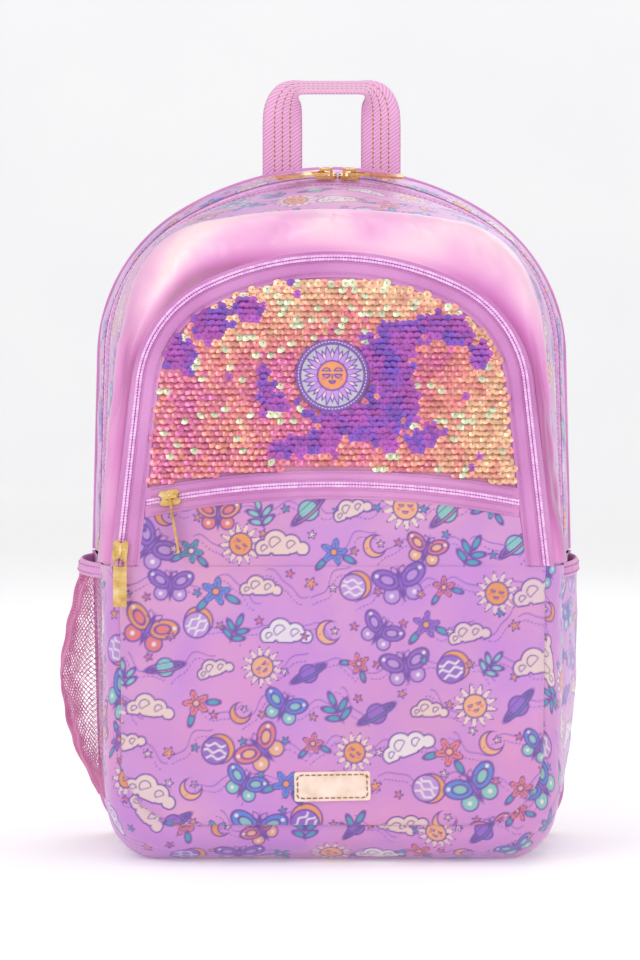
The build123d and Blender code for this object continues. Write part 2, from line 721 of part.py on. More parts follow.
def straps():
    yoke_half, yoke_low, yoke_high = 104.0, 352.0, 381.0
    with BuildPart() as yoke:
        with BuildSketch(upright(YOKE_FACE_Y)):
            with Locations((0, (yoke_low + yoke_high) / 2)):
                RectangleRounded(2 * yoke_half, yoke_high - yoke_low, 8.0)
        extrude(amount=YOKE_THICK)
    save(yoke, "strap_yoke")
    inner_y = YOKE_FACE_Y + SOFT_GAP
    mid_z = (STRAP_TOP_Z + STRAP_END_Z) / 2
    half, foot_half = STRAP_WIDE / 2, STRAP_FOOT / 2
    for name, side in (("left", -1), ("right", 1)):
        with BuildPart() as strap:
            with BuildSketch(Plane.YZ.offset(-200)):
                with BuildLine():
                    strap_profile(inner_y, STRAP_BOW, STRAP_THICK)
                make_face()
            extrude(amount=400)
            with BuildSketch(upright(BACK_OUT_Y - 5)):
                with BuildLine():
                    top, end = STRAP_TOP_Z + 1, STRAP_END_Z - 1
                    x_out, x_in = side * (STRAP_X + half), side * (STRAP_X - half)
                    foot_out, foot_in = side * (LOCK_X + foot_half), side * (LOCK_X - foot_half)
                    Line((x_in, top), (x_out, top))
                    ThreePointArc((x_out, top), (side * (LOCK_X + half - 1), mid_z), (foot_out, end))
                    Line((foot_out, end), (foot_in, end))
                    ThreePointArc((foot_in, end), (side * (LOCK_X - half + 3), mid_z), (x_in, top))
                make_face()
            extrude(amount=-120, mode=Mode.INTERSECT)
        save(strap, f"shoulder_strap_{name}")
        strap_hardware(name, side * LOCK_X, inner_y + STRAP_THICK / 2)


def upright_strip(name, x, outer_y, low, high):
    """A flat length of the adjusting webbing, with its outer face at depth outer_y."""
    with BuildPart() as strip:
        with BuildSketch(upright(outer_y)):
            with Locations((x, (low + high) / 2)):
                Rectangle(STRAP_WEB, high - low)
        extrude(amount=STRAP_WEB_THICK)
    save(strip, name)


def strap_hardware(name, x, mid_y):
    """Ladder lock under a strap, with its tab, the fixed webbing below, its free tail and the anchor."""
    lock_top = STRAP_END_Z - LOCK_DROP
    lock_low = lock_top - LOCK_LEN
    slot_high = (LOCK_LEN - 4 * LOCK_BAR) / 3
    with BuildPart() as lock:
        with BuildSketch(upright(mid_y + LOCK_THICK / 2)):
            with Locations((x, (lock_top + lock_low) / 2)):
                RectangleRounded(LOCK_WIDE, LOCK_LEN, 3.0)
            for step in range(3):
                slot_z = lock_low + LOCK_BAR + slot_high / 2 + step * (slot_high + LOCK_BAR)
                with Locations((x, slot_z)):
                    Rectangle(STRAP_WEB + 2.0, slot_high, mode=Mode.SUBTRACT)
        extrude(amount=LOCK_THICK)
    save(lock, f"ladder_lock_{name}")
    tab_y = mid_y + LOCK_THICK / 2 + LOCK_CLEAR + STRAP_WEB_THICK
    upright_strip(f"lock_tab_{name}", x, tab_y, lock_top - LOCK_BAR, STRAP_END_Z)
    bar_z = lock_low + 2 * LOCK_BAR
    tail_y = mid_y + LOCK_THICK / 2 + SOFT_GAP + STRAP_WEB_THICK
    upright_strip(f"webbing_tail_{name}", x, tail_y, bar_z - STRAP_TAIL, bar_z)
    foot_y = BACK_OUT_Y + ANCHOR_THICK + SOFT_GAP
    top_y = mid_y - LOCK_THICK / 2 - SOFT_GAP - STRAP_WEB_THICK
    with BuildPart() as webbing:
        with BuildSketch(Plane.YZ.offset(x - STRAP_WEB / 2)):
            with BuildLine():
                Polyline(
                    (foot_y, ANCHOR_Z),
                    (top_y, bar_z),
                    (top_y + STRAP_WEB_THICK, bar_z),
                    (foot_y + STRAP_WEB_THICK, ANCHOR_Z),
                    close=True,
                )
            make_face()
        extrude(amount=STRAP_WEB)
    save(webbing, f"lower_webbing_{name}")
    with BuildPart() as anchor:
        with BuildSketch(upright(BACK_OUT_Y + ANCHOR_THICK)):
            with BuildLine():
                Polyline(
                    (x - STRAP_FOOT / 2, ANCHOR_Z - 20),
                    (x + STRAP_FOOT / 2, ANCHOR_Z - 20),
                    (x + STRAP_WEB / 2 + 1, ANCHOR_Z + 12),
                    (x - STRAP_WEB / 2 - 1, ANCHOR_Z + 12),
                    close=True,
                )
            make_face()
        extrude(amount=ANCHOR_THICK)
    save(anchor, f"strap_anchor_{name}")


os.makedirs("parts", exist_ok=True)
main_gussets()
main_zip()
lower_body()
back_layers()
front_panels()
pocket_lower()
flap_panels()
pocket_zip()
flap_zip()
badge_and_label()
side_pocket("mesh_pocket", -1, MESH_BULGE, 0.4)
side_pocket("side_pocket_right", 1, RIGHT_BULGE, 0.8)
sliders()
handle()
straps()
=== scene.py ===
"""School backpack: the visible cloth, zips, sequins, net and straps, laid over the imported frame."""

import math

import bpy
import numpy as np
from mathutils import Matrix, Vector


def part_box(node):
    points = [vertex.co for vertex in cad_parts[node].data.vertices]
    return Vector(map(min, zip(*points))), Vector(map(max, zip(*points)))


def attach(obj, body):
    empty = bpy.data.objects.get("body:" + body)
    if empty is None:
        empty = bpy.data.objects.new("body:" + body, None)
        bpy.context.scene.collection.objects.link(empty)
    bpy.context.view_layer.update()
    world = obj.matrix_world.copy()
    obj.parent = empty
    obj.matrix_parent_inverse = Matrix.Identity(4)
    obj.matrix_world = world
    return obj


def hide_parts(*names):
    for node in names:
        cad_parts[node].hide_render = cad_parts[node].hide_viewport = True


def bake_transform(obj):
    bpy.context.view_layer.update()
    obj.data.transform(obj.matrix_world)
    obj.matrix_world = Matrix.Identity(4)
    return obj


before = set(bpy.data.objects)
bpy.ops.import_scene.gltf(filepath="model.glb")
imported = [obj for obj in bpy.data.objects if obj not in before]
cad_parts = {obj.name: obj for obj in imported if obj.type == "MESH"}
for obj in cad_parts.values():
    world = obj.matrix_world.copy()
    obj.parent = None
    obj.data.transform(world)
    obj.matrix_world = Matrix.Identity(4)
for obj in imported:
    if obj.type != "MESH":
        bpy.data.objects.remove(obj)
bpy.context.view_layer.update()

# ---- Sizes of the bag, in millimetres, the same as the frame's ----
# depths of the pocket's face, the front seam, the main zip and the back seam
POCKET_Y, FRONT_Y, ZIP_Y, BACK_Y = -103.0, -57.0, 12.0, 56.0
WAIST = 178.0  # where the zips end and the front folds
SEAM = 179.0  # foot of the upper front, just above the waist
BASE_CORNER = 28.0  # radius between the sides and the base
PANEL = 2.6  # thickness of the front panel
POCKET_LOW, POCKET_CORNER = 24.0, 42.0  # foot of the pocket's panel, and its corners
# arches: height, crown radius, half angle of the crown, lean of the legs
FRONT_ARCH = (388.0, 400.0, 11.0, 5.0)
ZIP_ARCH = (409.0, 180.0, 32.0, 1.7)
BACK_ARCH = (417.0, 180.0, 32.0, 1.5)
FLAP_ARCH = (360.0, 170.0, 26.0, 6.0)
FRONT_HALF, BACK_HALF, FLAP_HALF = 134.0, 149.0, 126.0
FRONT_FOOT, BACK_FOOT, FLAP_FOOT = 133.0, 145.0, 125.0
ZIP_HALF = FRONT_HALF + (BACK_HALF - FRONT_HALF) * (ZIP_Y - FRONT_Y) / (BACK_Y - FRONT_Y)
FLAP_LEAN = math.atan((103.0 - 79.0) / (360.0 - 178.0))
BAND_R = (106.0**2 + 10.0**2) / 20.0
BAND_U = (226.0 - WAIST) / math.cos(FLAP_LEAN)


# ---- Outlines ----
def run_length(path):
    """Distance along a path at each of its points."""
    return np.r_[0, np.cumsum(np.linalg.norm(np.diff(path, axis=0), axis=1))]


def sample(values, step, at):
    """Values known at distances step along a path, read at the distances at."""
    return np.stack([np.interp(at, step, values[:, k]) for k in range(values.shape[1])], 1)


def evenly(points, count):
    """The same path with evenly spaced points."""
    points = np.asarray(points, float)
    step = run_length(points)
    return sample(points, step, np.linspace(0, step[-1], count))


def arch(shape, half, base, count, inset=0.0):
    """Arched outline (x, z) from the left foot over the crown to the right foot."""
    height, top_r, span, lean = shape
    s1, c1 = math.sin(math.radians(span)), math.cos(math.radians(span))
    lean_t, lean_s = math.tan(math.radians(lean)), math.sin(math.radians(lean))
    reach = half - top_r * s1 - (height - top_r + top_r * c1 - WAIST) * lean_t
    small = reach / ((math.cos(math.radians(lean)) - s1) + (lean_s - c1) * lean_t)
    cx, cz = (top_r - small) * s1, height - top_r + (top_r - small) * c1
    top = np.radians(np.linspace(0, span, 60))
    side = np.radians(np.linspace(span, 90 - lean, 60))
    r1, r2 = top_r - inset, small - inset
    right = [(r1 * np.sin(a), height - top_r + r1 * np.cos(a)) for a in top]
    right += [(cx + r2 * np.sin(a), cz + r2 * np.cos(a)) for a in side]
    ex, ez = right[-1]
    right.append((ex + (ez - base) * lean_t, base))
    right = np.array(right)
    left = right[::-1] * (-1, 1)
    return evenly(np.r_[left, right[1:]], count)


def tray(half, foot, bottom, corner, count, inset=0.0, top=WAIST):
    """Lower outline (x, z) from the left waist, under the base, to the right waist."""
    low, r, foot, half = bottom + inset, corner - inset, foot - inset, half - inset
    turn = np.radians(np.linspace(0, 90, 40))
    right = [(foot - r + r * np.sin(a), low + r - r * np.cos(a)) for a in turn]
    right.append((half, top))
    right = np.array(right)
    left = right[::-1] * (-1, 1)
    return evenly(np.r_[left, right], count)


def flap_point(x, up, out=0.0):
    """A point on the leaning flap: x across, up along it from the waist, out of its face."""
    c, s = math.cos(FLAP_LEAN), math.sin(FLAP_LEAN)
    return np.stack([x + 0 * up, POCKET_Y + up * s - out * c, WAIST + up * c + out * s], -1)


def flap_arch(count, inset=0.0, base=1.0):
    """The flap's outline in its own plane: (x, up)."""
    height = (FLAP_ARCH[0] - WAIST) / math.cos(FLAP_LEAN) + WAIST
    path = arch((height, *FLAP_ARCH[1:]), FLAP_HALF, WAIST + base, count, inset)
    return path - (0, WAIST)


def normals_2d(path):
    """Outward direction at each point of a left-to-right outline over the top."""
    step = np.gradient(path, axis=0)
    out = np.stack([-step[:, 1], step[:, 0]], 1)
    return out / np.linalg.norm(out, axis=1)[:, None]


def upright(flat):
    """Front-view directions (x, z) as directions in space."""
    return np.stack([flat[:, 0], 0 * flat[:, 0], flat[:, 1]], 1)


# ---- Mesh making ----
def piece(name, verts, faces, material, uv=None, smooth=True):
    """A mesh object from millimetre points, in the shared frame."""
    mesh = bpy.data.meshes.new(name)
    mesh.from_pydata((np.asarray(verts) * 0.001).tolist(), [], [list(map(int, f)) for f in faces])
    mesh.materials.append(material)
    if uv is not None:
        layer = mesh.uv_layers.new(name="cloth")
        index = np.empty(len(mesh.loops), np.int32)
        mesh.loops.foreach_get("vertex_index", index)
        layer.data.foreach_set("uv", (np.asarray(uv)[index] * 0.01).astype(np.float32).ravel())
    mesh.shade_smooth() if smooth else None
    obj = bpy.data.objects.new(name, mesh)
    bpy.context.scene.collection.objects.link(obj)
    return obj


def grid(name, P, material, uv=None, flip=False, smooth=True):
    """A cloth surface through a grid of points P[i, j]; uv in millimetres of cloth."""
    nu, nv = P.shape[:2]
    i, j = np.meshgrid(np.arange(nu - 1), np.arange(nv - 1), indexing="ij")
    a = (i * nv + j).ravel()
    quads = np.stack([a, a + nv, a + nv + 1, a + 1], 1)
    if flip:
        quads = quads[:, ::-1]
    if uv is None:
        uv = np.stack(along(P), -1)
    return piece(name, P.reshape(-1, 3), quads, material, uv.reshape(-1, 2), smooth)


def grid_rim(X, U):
    """The outline of a grid of flat points, all the way round."""
    edges = ((X[:, 0], U[:, 0]), (X[-1], U[-1]), (X[::-1, -1], U[::-1, -1]), (X[0, ::-1], U[0, ::-1]))
    return np.concatenate([np.stack(edge, 1) for edge in edges])


def thick(obj, depth, offset=-1.0):
    """Gives a cloth surface its thickness, inwards from its face."""
    shell = obj.modifiers.new("thickness", "SOLIDIFY")
    shell.thickness = depth * 0.001
    shell.offset = offset
    shell.use_even_offset = False
    return obj


def settle(obj):
    """Applies every modifier of a piece."""
    graph = bpy.context.evaluated_depsgraph_get()
    mesh = bpy.data.meshes.new_from_object(obj.evaluated_get(graph))
    obj.modifiers.clear()
    obj.data = mesh
    return obj


def tube(name, path, radius, material, sides=8, flat=1.0, up=None, closed=False):
    """A round or flattened cord of cloth along a path of millimetre points."""
    path = np.asarray(path, float)
    along = np.gradient(path, axis=0)
    along /= np.linalg.norm(along, axis=1)[:, None]
    up = np.broadcast_to(np.array(up if up is not None else (0, -1, 0), float), path.shape)
    side = np.cross(along, up)
    side /= np.linalg.norm(side, axis=1)[:, None]
    up = np.cross(side, along)
    ring = np.linspace(0, 2 * np.pi, sides, endpoint=False)
    P = (
        path[:, None]
        + radius * np.cos(ring)[None, :, None] * side[:, None]
        + radius * flat * np.sin(ring)[None, :, None] * up[:, None]
    )
    n = len(path)
    faces = []
    for i in range(n if closed else n - 1):
        for j in range(sides):
            k, m = (j + 1) % sides, (i + 1) % n
            faces.append((i * sides + j, i * sides + k, m * sides + k, m * sides + j))
    if not closed:
        faces.append(tuple(range(sides))[::-1])
        faces.append(tuple((n - 1) * sides + j for j in range(sides)))
    u = np.repeat(run_length(path), sides)
    v = np.tile(np.arange(sides) * 2 * np.pi * radius / sides, n)
    return piece(name, P.reshape(-1, 3), faces, material, np.stack([u, v], 1))


def join(name, objs):
    """Several pieces of one body made into one, each keeping its material."""
    with bpy.context.temp_override(
        active_object=objs[0], selected_editable_objects=objs, selected_objects=objs
    ):
        bpy.ops.object.join()
    objs[0].name = name
    return objs[0]


def rumple(P, seed, size, amount, stretch=(1, 1, 1)):
    """Smooth wandering offsets, the same for the same seed, in millimetres."""
    rng = np.random.default_rng(seed)
    Q = P * np.array(stretch)
    total = np.zeros(P.shape[:-1])
    for octave in range(5):
        k = rng.normal(size=(4, 3))
        k /= np.linalg.norm(k, axis=1)[:, None]
        w = 2 * np.pi / (size / 1.6**octave)
        for row in range(4):
            total += np.sin(Q @ (k[row] * w) + rng.uniform(0, 6.28)) * 0.5 / 1.5**octave
    return total * amount * 0.4


# ---- Shader making ----
class Finish:
    """A material in the making: adds nodes and links them by socket name."""

    def __init__(self, name, rough=0.5, metal=0.0, sheen=0.0, coat=0.0, tint=None):
        self.mat = bpy.data.materials.new(name)
        self.mat.use_nodes = True
        self.tree = self.mat.node_tree
        self.shader = self.tree.nodes["Principled BSDF"]
        self.shader.inputs["Roughness"].default_value = rough
        self.shader.inputs["Metallic"].default_value = metal
        self.shader.inputs["Sheen Weight"].default_value = sheen
        self.shader.inputs["Sheen Roughness"].default_value = 0.4
        self.shader.inputs["Coat Weight"].default_value = coat
        self.shader.inputs["Coat Roughness"].default_value = 0.25
        if tint:
            self.shader.inputs["Sheen Tint"].default_value = (*tint, 1)
        self.height = None

    def node(self, kind, **inputs):
        made = self.tree.nodes.new("ShaderNode" + kind)
        for key, value in inputs.items():
            if key[0].islower():
                setattr(made, key, value)
        for key, value in inputs.items():
            if not key[0].islower():
                self.feed(made, key.replace("_", " "), value)
        return made

    def feed(self, made, key, value):
        socket = made.inputs[int(key[1:]) if key[0] == "I" and key[1:].isdigit() else key]
        if isinstance(value, bpy.types.NodeSocket):
            self.tree.links.new(value, socket)
        else:
            socket.default_value = value

    def place(self):
        return self.node("TexCoord").outputs["Object"]

    def cloth(self):
        return self.node("UVMap", uv_map="cloth").outputs["UV"]

    def scaled(self, vector, scale, turn=0.0):
        made = self.node("Mapping", Vector=vector, Scale=scale, Rotation=(0, 0, turn))
        return made.outputs[0]

    def noise(self, vector, scale, detail=3.0, rough=0.5, warp=0.0):
        made = self.node("TexNoise", Vector=vector, Scale=scale, Detail=detail, Roughness=rough, Distortion=warp)
        return made.outputs["Fac"]

    def wave(self, vector, scale, warp=0.0, direction="X"):
        made = self.node(
            "TexWave", bands_direction=direction, Vector=vector, Scale=scale, Distortion=warp
        )
        return made.outputs["Fac"]

    def ramp(self, value, *stops):
        made = self.node("ValToRGB", Fac=value)
        band = made.color_ramp.elements
        while len(band) < len(stops):
            band.new(0.5)
        for stop, (at, colour) in zip(band, stops):
            stop.position = at
            stop.color = (*colour, 1) if len(colour) == 3 else colour
        return made.outputs["Color"]

    def maths(self, operation, a, b=0.0):
        return self.node("Math", operation=operation, I0=a, I1=b).outputs[0]

    def blend(self, kind, amount, a, b):
        made = self.node("Mix", data_type="RGBA", blend_type=kind)
        for index, value in ((0, amount), (6, a), (7, b)):
            if isinstance(value, bpy.types.NodeSocket):
                self.tree.links.new(value, made.inputs[index])
            else:
                made.inputs[index].default_value = value if index == 0 else (*value, 1)
        return made.outputs[2]

    def attribute(self, name):
        return self.node("Attribute", attribute_name=name).outputs["Color"]

    def colour(self, socket):
        self.tree.links.new(socket, self.shader.inputs["Base Color"])

    def rough(self, socket, low, high):
        made = self.node("MapRange", Value=socket)
        made.inputs["To Min"].default_value = low
        made.inputs["To Max"].default_value = high
        self.tree.links.new(made.outputs[0], self.shader.inputs["Roughness"])

    def bump(self, socket, depth, strength=1.0):
        made = self.node("Bump", Height=socket, Distance=depth * 0.001, Strength=strength)
        if self.height:
            self.tree.links.new(self.height, made.inputs["Normal"])
        self.height = made.outputs["Normal"]
        self.tree.links.new(self.height, self.shader.inputs["Normal"])

    def weave(self, vector, per_unit, depth, warp=0.0):
        """Two crossed sets of threads; per_unit is threads for each unit of the coordinate."""
        across = self.wave(vector, per_unit * 0.314, warp, "X")
        along = self.wave(vector, per_unit * 0.314, warp, "Y")
        cross = self.maths("MAXIMUM", across, along)
        self.bump(cross, depth, 0.6)
        return cross


def lin(*rgb):
    """A colour given as 0-255 screen values, in linear light."""
    return tuple(((c / 255 + 0.055) / 1.055) ** 2.4 if c > 10 else c / 3294 for c in rgb)


# ---- The printed cloth: small motifs with violet outlines, painted into a colour attribute ----
INK = lin(126, 84, 178)
CREAM = lin(250, 222, 218)
PEACH = lin(255, 190, 150)
CORAL = lin(244, 138, 138)
ORANGE = lin(250, 170, 110)
TEAL = lin(90, 176, 200)
BLUE = lin(108, 150, 232)
LILAC = lin(206, 160, 232)
VIOLET = lin(164, 116, 214)
MINT = lin(150, 214, 210)
WHITE = lin(250, 240, 246)


class Print:
    """Paints one motif at a time on the points of a cloth, nearest ink last."""

    def __init__(self, U, V, seed):
        self.shape = U.shape
        self.u, self.v = U.ravel(), V.ravel()
        drift = rumple(np.stack([self.u, self.v, 0 * self.u], 1), seed, 260, 1.0)
        cloud = rumple(np.stack([self.u, self.v, 0 * self.u], 1), seed + 1, 90, 1.0)
        t = np.clip(0.5 + 0.45 * drift + 0.2 * cloud, 0, 1)[:, None]
        pink, lilac, blush = (np.array(lin(*c)) for c in ((246, 168, 214), (222, 158, 232), (250, 184, 206)))
        low = pink + (lilac - pink) * np.clip(t * 2, 0, 1)
        self.rgb = low + (blush - low) * np.clip(t * 2 - 1, 0, 1)

    def at(self, cu, cv, size, turn, reach=1.25):
        """Picks the points round a motif; gives them in the motif's own unit square."""
        near = np.flatnonzero((abs(self.u - cu) < size * reach) & (abs(self.v - cv) < size * reach))
        du, dv = (self.u[near] - cu) / size, (self.v[near] - cv) / size
        c, s = math.cos(turn), math.sin(turn)
        self.near, self.line = near, 0.5 / size
        self.x, self.y = du * c + dv * s, dv * c - du * s
        return self.x, self.y

    def ink(self, d, colour, blur=0.3):
        """Lays colour where the distance d is below nought."""
        soft = blur * self.line / 0.5
        a = np.clip(0.5 - d / (2 * soft + 1e-9), 0, 1)[:, None]
        self.rgb[self.near] += (np.array(colour) - self.rgb[self.near]) * a

    def shape_of(self, d, colour, rim=INK):
        self.ink(d, colour)
        self.ink(abs(d) - self.line, rim)

    def stroke(self, d, rim=INK, wide=1.0):
        self.ink(abs(d) - self.line * wide, rim)

    def done(self):
        return self.rgb.reshape(*self.shape, 3)


def ring(x, y, r, cx=0.0, cy=0.0):
    return np.hypot(x - cx, y - cy) - r


def oval(x, y, cx, cy, rx, ry, turn=0.0):
    c, s = math.cos(turn), math.sin(turn)
    px, py = (x - cx) * c + (y - cy) * s, (y - cy) * c - (x - cx) * s
    k = np.hypot(px / rx, py / ry)
    return (k - 1) * min(rx, ry)


def paint_sun(p, x, y, pick):
    a, r = np.arctan2(y, x), np.hypot(x, y)
    rays = r - (0.74 + 0.2 * np.cos(a * 13))
    p.shape_of(rays, CREAM)
    p.shape_of(ring(x, y, 0.5), ORANGE if pick < 0.6 else PEACH)
    for side in (-1, 1):
        p.stroke(np.maximum(ring(x, y, 0.1, side * 0.18, 0.12), y - 0.1), wide=0.7)
        p.ink(ring(x, y, 0.07, side * 0.28, -0.08), CORAL)
    p.stroke(np.maximum(ring(x, y, 0.12, 0, -0.12), y + 0.16), wide=0.7)


def paint_moon(p, x, y, pick):
    d = np.maximum(ring(x, y, 0.62), -ring(x, y, 0.5, 0.26, 0.1))
    p.shape_of(d, PEACH if pick < 0.5 else ORANGE)
    p.ink(ring(x, y, 0.06, -0.42, -0.1), CORAL)
    paint_star(p, x - 0.34, y - 0.1, 0.2, CREAM)


def paint_globe(p, x, y, pick):
    p.shape_of(ring(x, y, 0.66, 0.14, 0.1), ORANGE)
    p.shape_of(ring(x, y, 0.6, -0.04, 0.0), LILAC if pick < 0.5 else VIOLET)
    inside = ring(x, y, 0.52, -0.04, 0.0)
    for level in (-0.3, -0.02, 0.26):
        d = abs(y - level - 0.07 * np.sin(x * 11 + level * 9)) - 0.05
        p.ink(np.maximum(d, inside), WHITE)


def paint_cloud(p, x, y, pick):
    bumps = [(-0.62, -0.1, 0.3), (-0.2, 0.12, 0.42), (0.34, 0.04, 0.34), (0.74, -0.12, 0.24), (0.0, -0.14, 0.34)]
    d = np.min([ring(x, y, r, cx, cy) for cx, cy, r in bumps], axis=0)
    d = np.maximum(d, -0.34 - y)
    p.shape_of(d, CREAM if pick < 0.7 else WHITE)
    for cx, cy, r in ((-0.22, 0.1, 0.2), (0.34, 0.02, 0.15), (-0.6, -0.1, 0.12)):
        p.stroke(np.maximum(ring(x, y, r, cx, cy), (x - cx) * 0.8 - (y - cy) - r * 0.5), wide=0.7)


def paint_star(p, x, y, size=0.5, colour=ORANGE):
    a, r = np.arctan2(x, y), np.hypot(x, y)
    d = (r - size * (0.7 + 0.3 * np.cos(a * 5))) * 0.8
    p.shape_of(d, colour)


def paint_butterfly(p, x, y, pick):
    upper, lower = ((CORAL, PEACH), (VIOLET, LILAC), (BLUE, MINT), (ORANGE, CORAL))[int(pick * 4)]
    for side in (-1, 1):
        sx = x * side
        p.shape_of(oval(sx, y, 0.4, -0.34, 0.3, 0.3, 0.5), lower)
        p.shape_of(oval(sx, y, 0.5, 0.26, 0.52, 0.34, 0.55), upper)
        p.shape_of(oval(sx, y, 0.46, 0.24, 0.28, 0.17, 0.55), lower)
        p.ink(ring(sx, y, 0.08, 0.42, -0.36), WHITE)
        p.ink(ring(sx, y, 0.07, 0.8, 0.46), WHITE)
    p.shape_of(oval(x, y, 0, 0, 0.07, 0.42), VIOLET)
    for side in (-1, 1):
        p.stroke(np.maximum(ring(x * side, y, 0.26, 0.26, 0.4), np.maximum(0.4 - y, x * side - 0.24)), wide=0.6)


def paint_flower(p, x, y, pick):
    a, r = np.arctan2(y, x), np.hypot(x, y)
    main, heart = ((TEAL, CREAM), (BLUE, ORANGE), (CORAL, PEACH), (VIOLET, ORANGE))[int(pick * 4)]
    p.shape_of(oval(x, y, -0.66, -0.5, 0.34, 0.15, 0.7), TEAL)
    p.shape_of(oval(x, y, 0.7, -0.44, 0.34, 0.15, -0.6), TEAL)
    p.shape_of(r - (0.48 + 0.18 * np.cos(a * 5)), main)
    for k in range(5):
        c, s = math.cos(k * 1.2566), math.sin(k * 1.2566)
        p.stroke(np.maximum(abs(x * s - y * c), abs(x * c + y * s - 0.33) - 0.1), wide=0.6)
    p.shape_of(ring(x, y, 0.17), heart)


def paint_planet(p, x, y, pick):
    tilt = oval(x, y, 0, 0, 0.92, 0.24, 0.45)
    ringed = np.maximum(tilt, -oval(x, y, 0, 0, 0.7, 0.13, 0.45))
    p.shape_of(ring(x, y, 0.46), VIOLET if pick < 0.5 else MINT)
    p.stroke(np.maximum(abs(y - x * 0.48 - 0.24), ring(x, y, 0.42)), wide=0.6)
    front = np.maximum(ringed, (y - x * 0.48) * 1.0 - 0.03)
    p.shape_of(np.where(ring(x, y, 0.5) < 0, front, ringed), TEAL if pick < 0.5 else PEACH)


def paint_leaf(p, x, y, pick):
    tone = TEAL if pick < 0.6 else MINT
    for cx, cy, t in ((0, 0.4, 1.57), (-0.32, 0.02, 2.5), (0.32, -0.04, 0.6), (-0.3, -0.42, 2.7), (0.26, -0.46, 0.45)):
        p.shape_of(oval(x, y, cx, cy, 0.34, 0.14, t), tone)
    p.stroke(np.maximum(abs(x - 0.08 * np.sin(y * 4)), abs(y + 0.3) - 0.5), wide=0.7)


def paint_swirl(p, x, y, pick):
    dashed = np.sin(x * 42) > -0.4
    for k, cy in enumerate((0.16, -0.12)):
        d = abs(y - cy - 0.24 * np.sin(x * 2.6 + pick * 6) - 0.07 * np.sin(x * 6)) * 0.85
        d = np.maximum(d, abs(x + 0.1 * k) - 0.95)
        p.ink(np.where(dashed | (k == 0), d, 1.0) - p.line * 0.7, VIOLET)


MOTIFS = (
    (paint_sun, 13.5), (paint_butterfly, 16.0), (paint_cloud, 16.0), (paint_flower, 10.5),
    (paint_globe, 13.5), (paint_butterfly, 12.5), (paint_moon, 10.5), (paint_planet, 12.0),
    (paint_leaf, 12.0), (paint_cloud, 12.5), (paint_flower, 13.0), (paint_star, 7.0),
)


def printed(U, V, seed=7):
    """Cloth colours for points at (U, V) millimetres of cloth: motifs on staggered rows, fillers between."""
    p = Print(U, V, seed)
    lo_u, hi_u, lo_v, hi_v = p.u.min() - 20, p.u.max() + 20, p.v.min() - 20, p.v.max() + 20
    step, rise = 27.5, 23.5
    deal = (0, 7, 3, 1, 4, 8, 2, 6, 5, 10, 9, 11, 4, 1, 3, 0, 2, 10, 6, 5, 8, 7, 9)
    spots = []
    for row in range(math.floor(lo_v / rise), math.ceil(hi_v / rise)):
        for col in range(math.floor(lo_u / step), math.ceil(hi_u / step)):
            spots.append((row, col, (col + (row % 2) / 2) * step, row * rise))
    luck = [np.random.default_rng((seed, row + 500, col + 500)) for row, col, _, _ in spots]
    for (row, col, cu, cv), rng in zip(spots, luck):
        x, y = p.at(cu + step / 2, cv + rng.uniform(-3, 3), 15, rng.uniform(-0.6, 0.6), 1.1)
        if rng.random() < 0.85 and len(x):
            paint_swirl(p, x, y, rng.random())
    for (row, col, cu, cv), rng in zip(spots, luck):
        kind, size = MOTIFS[deal[(col + row * 5) % len(deal)]]
        du, dv, pick = rng.uniform(-3, 3), rng.uniform(-3.5, 3.5), rng.random()
        turn = rng.uniform(-0.4, 0.4) if kind in (paint_cloud, paint_planet) else rng.uniform(-0.8, 0.8)
        size *= rng.uniform(0.92, 1.1)
        x, y = p.at(cu + du, cv + dv, size, turn)
        star, where = rng.random(), rng.uniform(-1, 1, 3)
        if len(x):
            kind(p, x, y) if kind is paint_star else kind(p, x, y, pick)
        x, y = p.at(cu + step / 2 + where[0] * 3, cv + 8 * where[1] + 3, 4.0, 3 * where[2], 1.4)
        if star < 0.8 and len(x):
            paint_star(p, x, y, 0.62, (ORANGE, TEAL, CREAM, CORAL)[int(star * 5)])
    return p.done() * 0.76


def store_print_and_painted_light(obj, rgb, name="print"):
    """Stores point colours on a piece: print, and on the satin its painted shade and painted highlight."""
    rgb = np.asarray(rgb).reshape(-1, 3)
    layer = obj.data.color_attributes.new(name, "FLOAT_COLOR", "POINT")
    layer.data.foreach_set("color", np.c_[rgb, np.ones(len(rgb))].astype(np.float32).ravel())
    return obj


# ---- Finishes ----
def holo_satin():
    """Pearly pink satin: pink through lilac to cream, with a fine grain, over the painted shade and painted highlight
    stored on the cloth.
    """
    f = Finish("holo_satin", rough=0.34, sheen=0.25, coat=0.35, tint=(1.0, 0.85, 0.95))
    here = f.place()
    broad = f.noise(f.scaled(here, (11, 11, 8)), 1.0, 2.0, 0.5, 0.9)
    pearls = (
        (0.37, lin(196, 92, 176)), (0.46, lin(224, 132, 200)),
        (0.56, lin(242, 182, 218)), (0.66, lin(250, 226, 220)),
    )
    tone = f.ramp(broad, *pearls)
    # facing colour: partly the pearl's shift of hue with angle, partly painted shade, light pink face on and darker
    # violet where the satin turns away
    facing = f.node("LayerWeight", Blend=0.35).outputs["Facing"]
    edge = f.ramp(facing, (0.0, lin(250, 200, 226)), (0.45, lin(236, 150, 212)), (0.85, lin(190, 110, 200)))
    # most of the base colour is the stored painted shade and painted highlight; the rest mixes the random pearly tone
    # with the facing colour
    f.colour(f.blend("MIX", 0.28, f.attribute("satin_painted_light"), f.blend("MIX", 0.35, tone, edge)))
    grain = f.noise(here, 1600, 2.0, 0.6)
    f.bump(grain, 0.05, 0.25)
    f.bump(f.noise(here, 55, 3.0, 0.5), 1.2, 0.35)
    f.rough(grain, 0.28, 0.42)
    return f.mat


